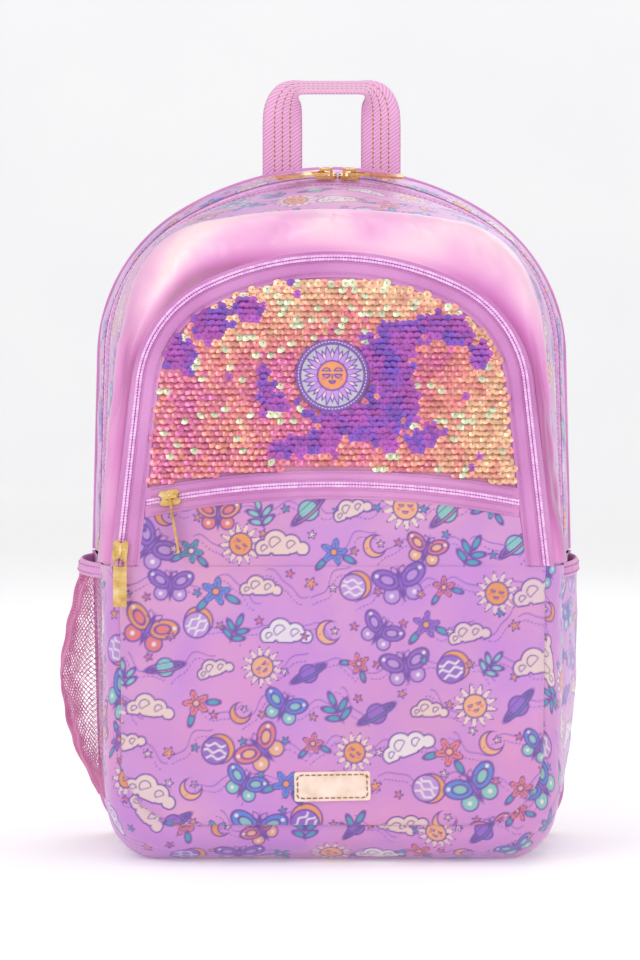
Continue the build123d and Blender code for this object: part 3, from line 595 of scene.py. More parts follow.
def print_cloth():
    """The printed pearly cloth: painted motifs under a fine grain and a soft sheen."""
    f = Finish("print_fabric", rough=0.4, sheen=0.3, coat=0.22, tint=(1.0, 0.88, 0.98))
    here = f.place()
    paint = f.attribute("print")
    cast = f.noise(here, 10, 2.0, 0.4)
    wash = f.ramp(cast, (0.35, (0.92, 0.84, 1.0)), (0.5, (1, 1, 1)), (0.65, (1.0, 0.93, 0.9)))
    f.colour(f.blend("MULTIPLY", 0.8, paint, wash))
    grain = f.noise(here, 1500, 2.0, 0.6)
    f.rough(grain, 0.34, 0.5)
    f.bump(grain, 0.06, 0.3)
    f.bump(f.noise(here, 60, 3.0, 0.5), 1.2, 0.25)
    return f.mat


def woven(name, low, high, threads=180, depth=0.12, rough=0.62, sheen=0.3, coat=0.0, patch=14):
    """Plain woven cloth on the piece's own thread lines, with slightly uneven dyeing."""
    f = Finish(name, rough=rough, sheen=sheen, coat=coat)
    flat = f.cloth()
    cross = f.weave(flat, threads, depth, 0.4)
    dyed = f.ramp(f.noise(f.place(), patch, 3.0, 0.5), (0.35, low), (0.65, high))
    shade = f.ramp(cross, (0.0, (0.72, 0.68, 0.74)), (0.7, (1, 1, 1)))
    f.colour(f.blend("MULTIPLY", 0.55, dyed, shade))
    f.rough(cross, rough + 0.1, rough - 0.08)
    return f.mat


def coil_nylon():
    f = Finish("zip_coil", rough=0.32, coat=0.2)
    f.colour(f.ramp(f.noise(f.place(), 260, 2.0), (0.35, lin(232, 168, 230)), (0.65, lin(248, 204, 244))))
    f.bump(f.noise(f.place(), 1800, 2.0), 0.05, 0.3)
    return f.mat


def gold():
    f = Finish("gold_metal", rough=0.22, metal=1.0)
    here = f.place()
    brushed = f.noise(f.scaled(here, (900, 900, 120)), 1.0, 3.0, 0.6)
    worn = f.noise(here, 130, 3.0)
    tone = f.ramp(worn, (0.32, lin(206, 156, 84)), (0.55, lin(238, 200, 130)), (0.75, lin(250, 224, 168)))
    f.colour(tone)
    f.rough(brushed, 0.16, 0.34)
    f.bump(brushed, 0.03, 0.3)
    return f.mat


def sequin_film():
    """Thin shiny discs, each with its own stored tint, which carries painted highlights."""
    f = Finish("sequins", rough=0.2, metal=0.35, coat=0.6)
    tint = f.attribute("tint")
    facing = f.node("LayerWeight", Blend=0.3).outputs["Facing"]
    shift = f.ramp(facing, (0.0, (1.0, 1.0, 1.0)), (0.4, (1.0, 0.86, 0.78)), (0.8, (0.85, 0.8, 1.0)))
    f.colour(f.blend("MULTIPLY", 0.5, tint, shift))
    f.rough(f.noise(f.place(), 900, 2.0), 0.14, 0.3)
    f.bump(f.noise(f.place(), 700, 1.0), 0.05, 0.2)
    return f.mat


def net_thread():
    f = Finish("mesh_cloth", rough=0.5, sheen=0.4)
    f.colour(f.ramp(f.noise(f.place(), 90, 2.0), (0.35, lin(216, 112, 168)), (0.65, lin(234, 148, 194))))
    f.bump(f.noise(f.place(), 2500, 2.0), 0.05, 0.4)
    return f.mat


def webbing(name, base, stripe=None):
    """Ribbed webbing; stripes run along it at set places across its width."""
    f = Finish(name, rough=0.55, sheen=0.35)
    flat = f.cloth()
    twill = f.wave(f.scaled(flat, (1, 1, 1), 0.62), 17.0, 0.6)
    f.bump(twill, 0.35, 0.8)
    # painted shade: the twill's grooves are coloured darker between the ribs
    edge = f.ramp(twill, (0.1, tuple(0.72 * c for c in base)), (0.7, base))
    if stripe:
        across = f.node("SeparateXYZ", Vector=flat).outputs["Y"]
        band = None
        for place in stripe:
            gap = f.maths("ABSOLUTE", f.maths("SUBTRACT", across, place * 0.01))
            line = f.maths("LESS_THAN", gap, 0.0045)
            band = line if band is None else f.maths("MAXIMUM", band, line)
        fleck = f.ramp(f.wave(flat, 10.5, 0.2), (0.2, lin(150, 96, 120)), (0.7, lin(224, 176, 140)))
        edge = f.blend("MIX", band, edge, fleck)
    f.colour(edge)
    f.rough(f.noise(f.place(), 700, 2.0), 0.48, 0.66)
    return f.mat


def plastic(name, low, high):
    f = Finish(name, rough=0.38, coat=0.1)
    f.colour(f.ramp(f.noise(f.place(), 60, 3.0), (0.35, low), (0.7, high)))
    f.bump(f.noise(f.place(), 900, 3.0), 0.05, 0.3)
    f.rough(f.noise(f.place(), 150, 3.0), 0.3, 0.5)
    return f.mat


def leather():
    f = Finish("label_leather", rough=0.5, coat=0.1)
    here = f.place()
    cells = f.node("TexVoronoi", feature="DISTANCE_TO_EDGE", Vector=here, Scale=1500.0).outputs["Distance"]
    f.colour(f.ramp(f.noise(here, 120, 4.0), (0.3, lin(232, 204, 184)), (0.7, lin(250, 230, 214))))
    f.bump(cells, 0.08, 0.5)
    f.rough(cells, 0.62, 0.4)
    return f.mat


SATIN = holo_satin()
PRINT = print_cloth()
TAPE = woven("zip_tape", lin(200, 124, 188), lin(218, 148, 206), 150, 0.14, 0.5, 0.4, 0.1)
GLOSS_TAPE = woven("gloss_tape", lin(196, 120, 184), lin(218, 150, 204), 170, 0.08, 0.34, 0.3, 0.3)
COIL = coil_nylon()
GOLD = gold()
SEQUIN = sequin_film()
BASE_CLOTH = woven("sequin_base", lin(176, 110, 150), lin(214, 140, 170), 160, 0.12)
NET = net_thread()
LINING = woven("lining_cloth", lin(214, 168, 220), lin(232, 190, 234), 200, 0.08, 0.5)
BACK_CLOTH = woven("back_cloth", lin(214, 150, 212), lin(232, 172, 226), 90, 0.35, 0.66, 0.4)
AIR_MESH = woven("back_mesh", lin(206, 140, 206), lin(228, 164, 222), 45, 0.6, 0.7, 0.4)
STRAP_CLOTH = woven("strap_pad", lin(232, 160, 218), lin(246, 184, 230), 110, 0.25, 0.6, 0.4)
HANDLE_WEB = webbing("handle_webbing", lin(248, 180, 226), (7.6, 12.5, 17.4))
STRAP_WEB = webbing("strap_webbing", lin(234, 154, 218))
LOCK = plastic("lock_plastic", lin(222, 140, 208), lin(236, 164, 222))
LEATHER = leather()
THREAD = woven("stitch_thread", lin(206, 130, 196), lin(226, 160, 214), 300, 0.05, 0.5)
BROWN_THREAD = woven("brown_thread", lin(150, 104, 70), lin(186, 136, 92), 300, 0.05, 0.5)
PALE_THREAD = woven("pale_thread", lin(240, 226, 246), lin(252, 244, 252), 300, 0.05, 0.5)
BINDING = woven("binding", lin(204, 122, 190), lin(222, 148, 208), 160, 0.12, 0.5, 0.4, 0.1)
RIM_CLOTH = woven("badge_edge", lin(112, 74, 156), lin(146, 104, 190), 220, 0.15, 0.5, 0.3)


# ---- The stuffed shell ----
def ramp01(t, a, b):
    s = np.clip((t - a) / (b - a), 0, 1)
    return s * s * (3 - 2 * s)


def between(path_a, ya, path_b, yb, rows):
    """Ruled cloth from one outline to another; returns P[along, across, 3]."""
    w = np.linspace(0, 1, rows)[None, :, None]
    A = np.stack([path_a[:, 0], np.full(len(path_a), ya), path_a[:, 1]], 1)[:, None]
    B = np.stack([path_b[:, 0], np.full(len(path_b), yb), path_b[:, 1]], 1)[:, None]
    return A + (B - A) * w


def puff(P, out, amount):
    """Pushes a ruled cloth outwards between its two seams."""
    w = np.linspace(0, 1, P.shape[1])[None, :]
    bow = (np.sin(np.pi * np.clip(w, 0, 1)) ** 0.7) * amount
    N = upright(out)[:, None]
    return P + N * bow[..., None]


def half_wave(count):
    """From nothing at one seam, up and back to nothing at the other."""
    return np.sin(np.pi * np.linspace(0, 1, count))


def crumple(P, out, amount):
    """Moves a shell's points outwards by their own amounts."""
    return P + upright(out)[:, None] * amount[..., None]


def along(P):
    """Cloth coordinates of a grid in millimetres, and the same for its columns."""
    rows, columns = P.shape[:2]
    return np.meshgrid(run_length(P[:, columns // 2]), run_length(P[rows // 2]), indexing="ij")


def shell_piece(name, P, body, nodes, seed):
    """A printed panel of the stuffed shell, with the print laid along its own cloth."""
    U, V = along(P)
    obj = grid(name, P, PRINT, np.stack([U, V], -1))
    store_print_and_painted_light(obj, printed(U, V, seed))
    if body:
        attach(obj, body)
    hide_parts(*nodes)
    return obj


N_ARCH = 900
front_arch = arch(FRONT_ARCH, FRONT_HALF, SEAM, N_ARCH)
zip_arch = arch(ZIP_ARCH, ZIP_HALF, SEAM, N_ARCH)
back_arch = arch(BACK_ARCH, BACK_HALF, SEAM, N_ARCH)
TAPE_W = 13.0

# the printed gusset in front of the zip, and the one behind it
share = (ZIP_Y - TAPE_W - FRONT_Y) / (ZIP_Y - FRONT_Y)
edge = front_arch + (zip_arch - front_arch) * share
P = between(front_arch, FRONT_Y, edge, ZIP_Y - TAPE_W, 62)
out = normals_2d(front_arch)
P = puff(P, out, 1.8 + 0.8 * np.sin(np.linspace(0, 9, N_ARCH))[:, None])
P = crumple(P, out, rumple(P, 3, 55, 0.7) * half_wave(62))
front_gusset = shell_piece("gusset_front_print", P, "front", ["front_gusset"], 11)

share = TAPE_W / (BACK_Y - ZIP_Y)
edge = zip_arch + (back_arch - zip_arch) * share
P = between(edge, ZIP_Y + TAPE_W, back_arch, BACK_Y, 36)
out = normals_2d(back_arch)
P = puff(P, out, 1.2)
P = crumple(P, out, rumple(P, 4, 50, 0.6) * half_wave(36))
rear_gusset = shell_piece("gusset_rear_print", P, "bag", ["rear_gusset"], 12)

# the lower sides and base, one printed strip round the bottom
front_tray = tray(FRONT_HALF, FRONT_FOOT, 0, BASE_CORNER, 900)
back_tray = tray(BACK_HALF, BACK_FOOT, 0, BASE_CORNER, 900)
P = between(front_tray, FRONT_Y - PANEL, back_tray, BACK_Y, 112)
out = -normals_2d(front_tray)
side_only = ramp01(P[..., 2], 6, 60)
P = crumple(P, out, (half_wave(112) ** 0.8 * 2.2 + rumple(P, 5, 60, 0.9) * half_wave(112)) * side_only)
P[..., 2] = np.maximum(P[..., 2], 0.0)
side_print = shell_piece("sides_and_base_print", P, "bag", ["side_gusset_left", "side_gusset_right", "base_panel"], 13)


# the satin's painted light, from the painted shade of the deepest valley to the painted highlight of the brightest
# ridge
SATIN_PAINTED_LIGHT_TONES = {
    0.0: (150, 30, 122), 0.18: (186, 78, 164), 0.4: (216, 132, 196), 0.62: (238, 178, 216), 0.9: (250, 228, 226),
}


def hump(at, middle, wide):
    """One at the middle, fading smoothly to nothing on both sides."""
    return np.exp(-(((at - middle) / wide) ** 2))


# the satin panel: from the front seam, out over the stuffing and in to the flap's zip
def satin_grid(count, rows):
    """Points of the satin, and the colour of its painted shade and painted highlight at each of them."""
    outer = arch(FRONT_ARCH, FRONT_HALF, SEAM, count)
    inner = arch(FLAP_ARCH, FLAP_HALF, SEAM, count, -3.6)
    out = normals_2d(outer)
    depth = POCKET_Y + 3.4 + (inner[:, 1] - WAIST) * math.tan(FLAP_LEAN)
    A = np.stack([outer[:, 0], np.full(count, FRONT_Y), outer[:, 1]], 1)
    B = np.stack([inner[:, 0], depth, inner[:, 1]], 1)
    w = np.linspace(0, 1, rows)
    chord = B - A
    N = upright(out)
    forward = np.array([0, -1.0, 0])
    high = ramp01(inner[:, 1], 180, 340)
    bow = np.sin(np.pi * w) ** 0.75
    P = A[:, None] + chord[:, None] * w[None, :, None]
    foot = 1 - ramp01(outer[:, 1], 181, 222)
    bow_low, bow_front = np.sin(np.pi * w) ** 0.62, np.sin(np.pi * w**1.6)
    leg, toe = (1 - foot)[:, None], foot[:, None]
    P += N[:, None] * ((bow[None] * (6.5 - 2.5 * high)[:, None]) * leg + 6.6 * bow_low[None] * toe)[..., None]
    P += forward * ((bow[None] * (3.0 + 4.0 * high)[:, None]) * leg + 3.4 * bow_front[None] * toe)[..., None]
    # creases: long soft folds that run down from the shoulders, and a tuck beside the zip
    t = np.linspace(0, 1, count)
    fade = np.sin(np.pi * w) ** 1.0
    fold = rumple(P, 21, 95, 4.0, (1, 1, 0.55)) + 0.8 * rumple(P, 22, 38, 1.7, (1, 1, 0.5))
    pinch = hump(t, 0.2, 0.05) * 4.6 + hump(t, 0.79, 0.05) * 3.4
    dip = -pinch[:, None] * hump(w, 0.66, 0.16)[None]
    dent = -1.5 * hump(w, 0.93, 0.06)[None]
    amount = (fold * fade[None] + dip) * leg + dent
    direction = 0.75 * N[:, None] + 0.65 * forward
    P += direction * amount[..., None]
    seam_half = 1.1  # half width of the pressed line up the middle
    middle = hump((t - 0.5) * np.ptp(run_length(outer)), 0.0, seam_half)
    P += direction * (-0.9 * middle[:, None] * fade[None])[..., None]
    # painted light: cream painted highlight on the ridges and over the crown, magenta painted shade in the valleys and
    # beside the zip
    lift = 0.24 + 0.42 * ramp01(outer[:, 1], 265, 375)[:, None] + 0.06 * amount
    # painted shade in the tucks beside the zip
    shoulder = hump(t, 0.33, 0.1) + 0.55 * hump(t, 0.74, 0.12)
    lift = lift - 0.8 * shoulder[:, None] * hump(w, 0.97, 0.2)[None]
    T, W = t[:, None], w[None]
    # painted highlight streaks running down the satin, and one painted dark streak
    painted_highlight_streak = hump(T, 0.27 + 0.12 * (1 - W), 0.035) + 0.6 * hump(T, 0.66 - 0.1 * W, 0.05)
    lift = lift + 0.3 * painted_highlight_streak - 0.2 * hump(T, 0.2 + 0.08 * (1 - W), 0.03)
    # painted light and dark bands over the lower satin
    lift = lift + 0.16 * np.sin(w * 9 + 3 * T * 4) * (1 - ramp01(outer[:, 1], 250, 330))[:, None]
    tones = np.array([lin(*c) for c in SATIN_PAINTED_LIGHT_TONES.values()])
    tone = np.stack([np.interp(lift, tuple(SATIN_PAINTED_LIGHT_TONES), tones[:, k]) for k in range(3)], -1)
    return P, tone


P_SATIN, tone = satin_grid(560, 48)
# the stored colour is the satin's painted shade and painted highlight
satin = store_print_and_painted_light(grid("satin_panel", P_SATIN, SATIN), tone, "satin_painted_light")
satin = settle(thick(satin, 1.6))
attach(satin, "front")
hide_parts("front_panel_upper", "pocket_zip_wall")


# a tuck of lining inside each foot of the satin, across the waist seam
for label, row in (("left", 0), ("right", -1)):
    foot_line = P_SATIN[row].copy()
    foot_line[:, 0] -= np.sign(foot_line[:, 0]) * 1.7
    levels = np.linspace(184, 170, 6)
    P = np.stack([np.stack([foot_line[:, 0], foot_line[:, 1], np.full(len(foot_line), z)], 1) for z in levels], 1)
    tuck = grid(f"waist_tuck_{label}", P, LINING)
    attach(tuck, "front")


# the pocket's back wall inside the satin ring
def fill_inside(path, y_of, rows):
    """A cloth that fills an outline, from its edge to its middle line."""
    half = len(path) // 2
    left, right = path[:half], path[::-1][:half]
    w = np.linspace(0, 1, rows)[None, :, None]
    F = left[:, None] + (right - left)[:, None] * w
    return np.stack([F[..., 0], y_of(F[..., 0], F[..., 1]), F[..., 1]], -1)


inner = arch(FLAP_ARCH, FLAP_HALF, SEAM, 241, 0.5)
P = fill_inside(inner, lambda x, z: -60.4 - 2.0 * np.cos(x / 90) + 0 * z, 60)
P[..., 1] += rumple(P, 31, 70, 0.5)
inside = grid("flap_pocket_back", P, LINING)
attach(inside, "front")

# ---- Lower front: the printed pocket panel, its rolled side and the divider inside ----
def half_at(z):
    """Half width of the pocket panel at a height."""
    z = np.asarray(z, float)
    r, low, foot = POCKET_CORNER, POCKET_LOW, FLAP_FOOT
    corner = foot - r + np.sqrt(np.clip(r * r - (low + r - z) ** 2, 0, None))
    return np.where(z < low + r, corner, foot + (z - low - r) / (WAIST - low - r))


zs = np.r_[24 + 42 * (1 - np.cos(np.linspace(0, np.pi / 2, 96))), np.linspace(66, WAIST, 156)[1:]]
zs[0] = 24.02
xs = np.linspace(-1, 1, 340)
X = xs[:, None] * half_at(zs)[None]
Z = np.broadcast_to(zs, X.shape)
edge_gap = half_at(zs)[None] - abs(X)
low_gap = Z - 24
corner = np.hypot(np.maximum(abs(X) - 83, 0), np.maximum(66 - Z, 0))
in_corner = (abs(X) > 83) & (Z < 66)
near_rim = np.where(in_corner, 42 - corner, np.minimum(edge_gap, low_gap))
near_rim = np.clip(near_rim, 0, None)
roll = 1 - np.clip(near_rim / 10, 0, 1)
Y = POCKET_Y + 5.2 * (1 - np.sqrt(np.clip(1 - roll**2, 0, 1))) * ramp01(WAIST - Z, -2, 22) ** 0.5
belly = np.clip(1 - (X / 128) ** 2, 0, 1) ** 0.7 * np.sin(np.pi * np.clip((Z - 20) / 170, 0, 1)) ** 0.8
Y = Y - 4.2 * belly
P = np.stack([X, Y, Z], -1)
calm = ramp01(WAIST - Z, 0, 30) * np.clip(near_rim / 12, 0, 1)
P[..., 1] += (rumple(P, 41, 75, 0.9) + rumple(P, 42, 30, 0.35)) * calm
panel_low = grid("pocket_panel_print", P, PRINT, np.stack([X, Z], -1))
store_print_and_painted_light(panel_low, printed(X, Z, 14))
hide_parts("pocket_panel_lower")
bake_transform(panel_low)

seam_path = tray(FLAP_HALF, FLAP_FOOT, POCKET_LOW, POCKET_CORNER, 700)
body_path = tray(FRONT_HALF, FRONT_FOOT, 0, BASE_CORNER, 700)
rows = 64
w = np.linspace(0, 1, rows)
A = np.stack([body_path[:, 0], np.full(700, FRONT_Y - PANEL), body_path[:, 1]], 1)
seam_y = POCKET_Y + 0.2 + 5.2 * ramp01(WAIST - seam_path[:, 1], -2, 22) ** 0.5
B = np.stack([seam_path[:, 0], seam_y, seam_path[:, 1]], 1)
out = -normals_2d(seam_path)
N = upright(out)
bow = np.sin(np.pi * w) ** 0.62
P = A[:, None] + (B - A)[:, None] * w[None, :, None]
P += N[:, None] * (bow * 7.0)[None, :, None]
skew = np.sin(np.pi * w**1.6)
P[..., 1] -= (skew * 4.5)[None]
wr = rumple(P, 43, 46, 0.9)
P += N[:, None] * (wr * np.sin(np.pi * w)[None])[..., None]
P[..., 2] = np.maximum(P[..., 2], 0.0)
roll_low = shell_piece("pocket_side_print", P, None, ["pocket_gusset_lower"], 15)
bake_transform(roll_low)

# inside dividers, lining cloth
divider_cut = tray(132.5, 131.5, 3, 26, 161)[::-1]
P = fill_inside(divider_cut, lambda x, z: -58.2 + 0 * x, 50)
divider = grid("pocket_divider", P, LINING)
settle(thick(divider, 1.0))
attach(divider, "bag")
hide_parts("front_divider_lower")

# the zipped pocket's lining, hung behind the printed panel
low, high = (np.array(end) * 1000 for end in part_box("zip_pocket_bag_lower"))
xs, zs = np.linspace(low[0] + 0.5, high[0] - 0.5, 90), np.linspace(low[2] + 0.5, high[2] - 0.5, 60)
X, Z = np.meshgrid(xs, zs, indexing="ij")
hang = (0.6 + 0.6 * np.sin(X / 11 + Z / 40)) * np.sin(np.pi * (high[2] - Z) / (high[2] - low[2]))
P = np.stack([X, high[1] + hang, Z], -1)
low_bag = grid("pocket_lining_low", P, LINING, np.stack([X, Z], -1))
settle(thick(low_bag, 0.7))
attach(low_bag, "bag")
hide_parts("zip_pocket_bag_lower")


# ---- Repeated small things: teeth, stitches, sequins ----
def small_item(name, verts, faces):
    mesh = bpy.data.meshes.new(name)
    mesh.from_pydata((np.asarray(verts) * 0.001).tolist(), [], faces)
    mesh.shade_smooth()
    return bpy.data.objects.new(name, mesh)


def grain_item(name, length, wide, tall, sides=6):
    """A rounded little bar lying along X, its underside at Z = 0."""
    verts, faces = [], []
    for x, k in ((-0.5, 0.45), (-0.32, 1.0), (0.32, 1.0), (0.5, 0.45)):
        for j in range(sides):
            a = 2 * math.pi * j / sides
            verts.append((x * length, math.cos(a) * wide / 2 * k, tall / 2 + math.sin(a) * tall / 2 * k))
    for i in range(3):
        for j in range(sides):
            k = (j + 1) % sides
            faces.append((i * sides + j, i * sides + k, (i + 1) * sides + k, (i + 1) * sides + j))
    faces += [tuple(range(sides))[::-1], tuple(3 * sides + j for j in range(sides))]
    faces = [f[::-1] for f in faces]
    return small_item(name, verts, faces)


def disc_item(name, radius, hole, cup, sides=12):
    """A thin cupped disc with a thread hole, facing +Z."""
    verts, faces = [], []
    for r, z in ((hole, 0.0), (radius * 0.62, cup * 0.35), (radius, cup)):
        for j in range(sides):
            a = 2 * math.pi * j / sides
            verts.append((math.cos(a) * r, math.sin(a) * r, z))
    for i in range(2):
        for j in range(sides):
            k = (j + 1) % sides
            faces.append((i * sides + j, (i + 1) * sides + j, (i + 1) * sides + k, i * sides + k))
    return small_item(name, verts, faces)


def repeat_tree():
    """Sets one item on every point, turned to the point's own directions, with a little random tilt."""
    tree = bpy.data.node_groups.new("repeat_on_points", "GeometryNodeTree")
    face = tree.interface
    face.new_socket("Points", in_out="INPUT", socket_type="NodeSocketGeometry")
    named = {"Item": "Object", "Finish": "Material", "Size": "Float", "Tilt": "Float", "Seed": "Int"}
    for label, kind in named.items():
        face.new_socket(label, in_out="INPUT", socket_type="NodeSocket" + kind)
    face.new_socket("Mesh", in_out="OUTPUT", socket_type="NodeSocketGeometry")
    new, link = tree.nodes.new, tree.links.new
    start, end = new("NodeGroupInput"), new("NodeGroupOutput")
    item = new("GeometryNodeObjectInfo")
    link(start.outputs["Item"], item.inputs["Object"])

    def stored(label):
        made = new("GeometryNodeInputNamedAttribute")
        made.data_type = "FLOAT_VECTOR"
        made.inputs["Name"].default_value = label
        return made.outputs["Attribute"]

    up = new("FunctionNodeAlignRotationToVector")
    up.axis = "Z"
    link(stored("aim"), up.inputs["Vector"])
    lie = new("FunctionNodeAlignRotationToVector")
    lie.axis, lie.pivot_axis = "X", "Z"
    link(up.outputs[0], lie.inputs["Rotation"])
    link(stored("side"), lie.inputs["Vector"])
    chance = new("FunctionNodeRandomValue")
    chance.data_type = "FLOAT_VECTOR"
    chance.inputs["Min"].default_value, chance.inputs["Max"].default_value = (-1, -1, -1), (1, 1, 1)
    link(start.outputs["Seed"], chance.inputs["Seed"])
    amount = new("ShaderNodeVectorMath")
    amount.operation = "SCALE"
    link(chance.outputs[0], amount.inputs[0])
    link(start.outputs["Tilt"], amount.inputs["Scale"])
    turn = new("FunctionNodeEulerToRotation")
    link(amount.outputs[0], turn.inputs[0])
    both = new("FunctionNodeRotateRotation")
    both.rotation_space = "LOCAL"
    link(lie.outputs[0], both.inputs[0])
    link(turn.outputs[0], both.inputs[1])
    put = new("GeometryNodeInstanceOnPoints")
    link(start.outputs["Points"], put.inputs["Points"])
    link(item.outputs["Geometry"], put.inputs["Instance"])
    link(both.outputs[0], put.inputs["Rotation"])
    link(start.outputs["Size"], put.inputs["Scale"])
    real = new("GeometryNodeRealizeInstances")
    link(put.outputs[0], real.inputs[0])
    finish = new("GeometryNodeSetMaterial")
    link(real.outputs[0], finish.inputs["Geometry"])
    link(start.outputs["Finish"], finish.inputs["Material"])
    link(finish.outputs[0], end.inputs[0])
    return tree


REPEAT = repeat_tree()
KEYS = {s.name: s.identifier for s in REPEAT.interface.items_tree if s.in_out == "INPUT"}


def repeat(name, points, aim, side, item, material, tilt=0.0, size=1.0, seed=1, tint=None):
    """A plain mesh of the item set on every point; points in millimetres."""
    points = np.asarray(points, float).reshape(-1, 3)
    mesh = bpy.data.meshes.new(name)
    mesh.from_pydata((points * 0.001).tolist(), [], [])
    for label, value in (("aim", aim), ("side", side)):
        value = np.broadcast_to(np.asarray(value, float), points.shape)
        mesh.attributes.new(label, "FLOAT_VECTOR", "POINT").data.foreach_set("vector", value.astype(np.float32).ravel())
    if tint is not None:
        layer = mesh.attributes.new("tint", "FLOAT_COLOR", "POINT")
        layer.data.foreach_set("color", np.c_[tint, np.ones(len(points))].astype(np.float32).ravel())
    obj = bpy.data.objects.new(name, mesh)
    bpy.context.scene.collection.objects.link(obj)
    mod = obj.modifiers.new("repeat", "NODES")
    mod.node_group = REPEAT
    for key, value in (("Item", item), ("Finish", material), ("Size", size), ("Tilt", tilt), ("Seed", seed)):
        mod[KEYS[key]] = value
    settle(obj)
    if not obj.data.materials:
        obj.data.materials.append(material)
    for label in ("aim", "side"):
        if obj.data.attributes.get(label):
            obj.data.attributes.remove(obj.data.attributes[label])
    return obj


def stitch_row(name, path, out, material, pitch=3.2, item=None):
    """A row of stitches along a path, lying on its surface."""
    path = np.asarray(path, float)
    out = np.broadcast_to(np.asarray(out, float), path.shape)
    step = run_length(path)
    length = np.linalg.norm(np.diff(path, axis=0), axis=1).sum()
    at = np.linspace(0, step[-1], max(2, int(length / pitch)))
    spots, aim = sample(path, step, at), sample(out, step, at)
    side = np.gradient(spots, axis=0)
    return repeat(name, spots, aim, side, item or STITCH, material)


STITCH = grain_item("stitch_item", 2.3, 0.55, 0.42)
BIG_STITCH = grain_item("heavy_stitch_item", 2.6, 0.8, 0.6)
TOOTH = grain_item("tooth_item", 1.8, 1.4, 0.95)
SCALE_DISC = disc_item("sequin_item", 2.75, 0.42, -0.42)
TOOTH_PITCH = (0.8, 1.75)  # the first tooth from a zip's end, and the step between teeth


def coil_row(name, path, out, body, node):
    """One side of a zip's coil: a cord with the teeth set across it."""
    path = np.asarray(path, float)
    out = np.broadcast_to(np.asarray(out, float), path.shape)
    cord = tube(name, path + out * 0.3, 0.8, COIL, 8, 0.75, up=out)
    step = run_length(path)
    at = np.arange(TOOTH_PITCH[0], step[-1], TOOTH_PITCH[1])
    spots, aim = sample(path, step, at), sample(out, step, at)
    run = np.gradient(spots, axis=0)
    across = np.cross(aim, run)
    teeth = repeat(name + "_teeth", spots + aim * 0.25, aim, across, TOOTH, COIL)
    whole = join(name, [cord, teeth])
    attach(whole, body)
    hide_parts(node)
    return whole


# ---- The main zip, over the top from foot to foot ----
def zip_line(y, sunk=0.0, count=700):
    """The gusset's outline at depth y, sunk a little below its face."""
    if y <= ZIP_Y:
        k = (y - FRONT_Y) / (ZIP_Y - FRONT_Y)
        path = arch(FRONT_ARCH, FRONT_HALF, SEAM, count) * (1 - k) + arch(ZIP_ARCH, ZIP_HALF, SEAM, count) * k
    else:
        k = (y - ZIP_Y) / (BACK_Y - ZIP_Y)
        path = arch(ZIP_ARCH, ZIP_HALF, SEAM, count) * (1 - k) + arch(BACK_ARCH, BACK_HALF, SEAM, count) * k
    out = normals_2d(path)
    path = path - out * sunk
    return np.stack([path[:, 0], np.full(count, y), path[:, 1]], 1), upright(out)


def zip_tape(name, y0, y1, body, node, stitch_y):
    rows = 14
    ys = np.linspace(y0, y1, rows)
    lines = [zip_line(y, 0.5 - 0.35 * math.sin(math.pi * k / (rows - 1)))[0] for k, y in enumerate(ys)]
    P = np.stack(lines, 1)
    tape = grid(name, P, TAPE)
    settle(thick(tape, 1.0))
    path, out = zip_line(stitch_y, 0.1)
    row = stitch_row(name + "_stitches", path, out, THREAD)
    tape = join(name, [tape, row])
    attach(tape, body)
    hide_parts(node)


zip_tape("main_zip_tape_front_cloth", ZIP_Y - TAPE_W - 0.8, ZIP_Y - 0.12, "front", "main_zip_tape_front", ZIP_Y - 9.5)
zip_tape("main_zip_tape_rear_cloth", ZIP_Y + 0.12, ZIP_Y + TAPE_W + 0.8, "bag", "main_zip_tape_rear", ZIP_Y + 9.5)
path, out = zip_line(ZIP_Y - 0.95, 0.55)
coil_row("main_zip_teeth_front", path, out, "front", "main_zip_coil_front")
path, out = zip_line(ZIP_Y + 0.95, 0.55)
coil_row("main_zip_teeth_rear", path, out, "bag", "main_zip_coil_rear")

# piping where the gussets meet the front and back panels
FACE_OUT = np.array([0, -math.cos(FLAP_LEAN), math.sin(FLAP_LEAN)])


def piping(name, path, y, radius, body, material=None, extra=0.0):
    """A cord of cloth sewn into a seam."""
    out = normals_2d(path)
    path = path + out * extra
    line = np.stack([path[:, 0], np.full(len(path), y), path[:, 1]], 1)
    cord = tube(name, line, radius, material or BINDING, 10)
    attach(cord, body)


piping("front_seam_piping", arch(FRONT_ARCH, FRONT_HALF, SEAM, 500), FRONT_Y - 0.4, 1.3, "front", SATIN, 0.2)
piping("back_seam_piping_top", arch(BACK_ARCH, BACK_HALF, SEAM, 500), BACK_Y + 0.3, 1.7, "bag", None, 0.1)
piping("back_seam_piping_low", tray(BACK_HALF, BACK_FOOT, 1.9, 26.5, 500), BACK_Y + 0.3, 1.7, "bag", None, -0.2)
piping("front_seam_piping_low", tray(FRONT_HALF, FRONT_FOOT, 1.4, 26.8, 500), FRONT_Y - PANEL, 1.3, "bag", None, -0.1)


# ---- The flap: its zip band, sequins, badge and printed foot ----
def flap_line(inset, out, count=600, base=0.2):
    path = flap_arch(count, inset, base)
    flat = normals_2d(path)
    line = flap_point(path[:, 0], path[:, 1], out)
    side = np.stack([flat[:, 0], flat[:, 1] * math.sin(FLAP_LEAN), flat[:, 1] * math.cos(FLAP_LEAN)], 1)
    return line, side


def flap_band(name, profile, material, body, node, stitches=()):
    """A band that follows the flap's outline; profile rows are (inset, height above the face)."""
    P = np.stack([flap_line(inset, out)[0] for inset, out in profile], 1)
    band = grid(name, P, material, flip=True)
    settle(thick(band, 0.9))
    parts = [band]
    for k, (inset, out, thread, pitch) in enumerate(stitches):
        parts.append(stitch_row(f"{name}_stitches_{k}", flap_line(inset, out)[0], FACE_OUT, thread, pitch))
    band = join(name, parts)
    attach(band, body)
    if node:
        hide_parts(node)
    return band


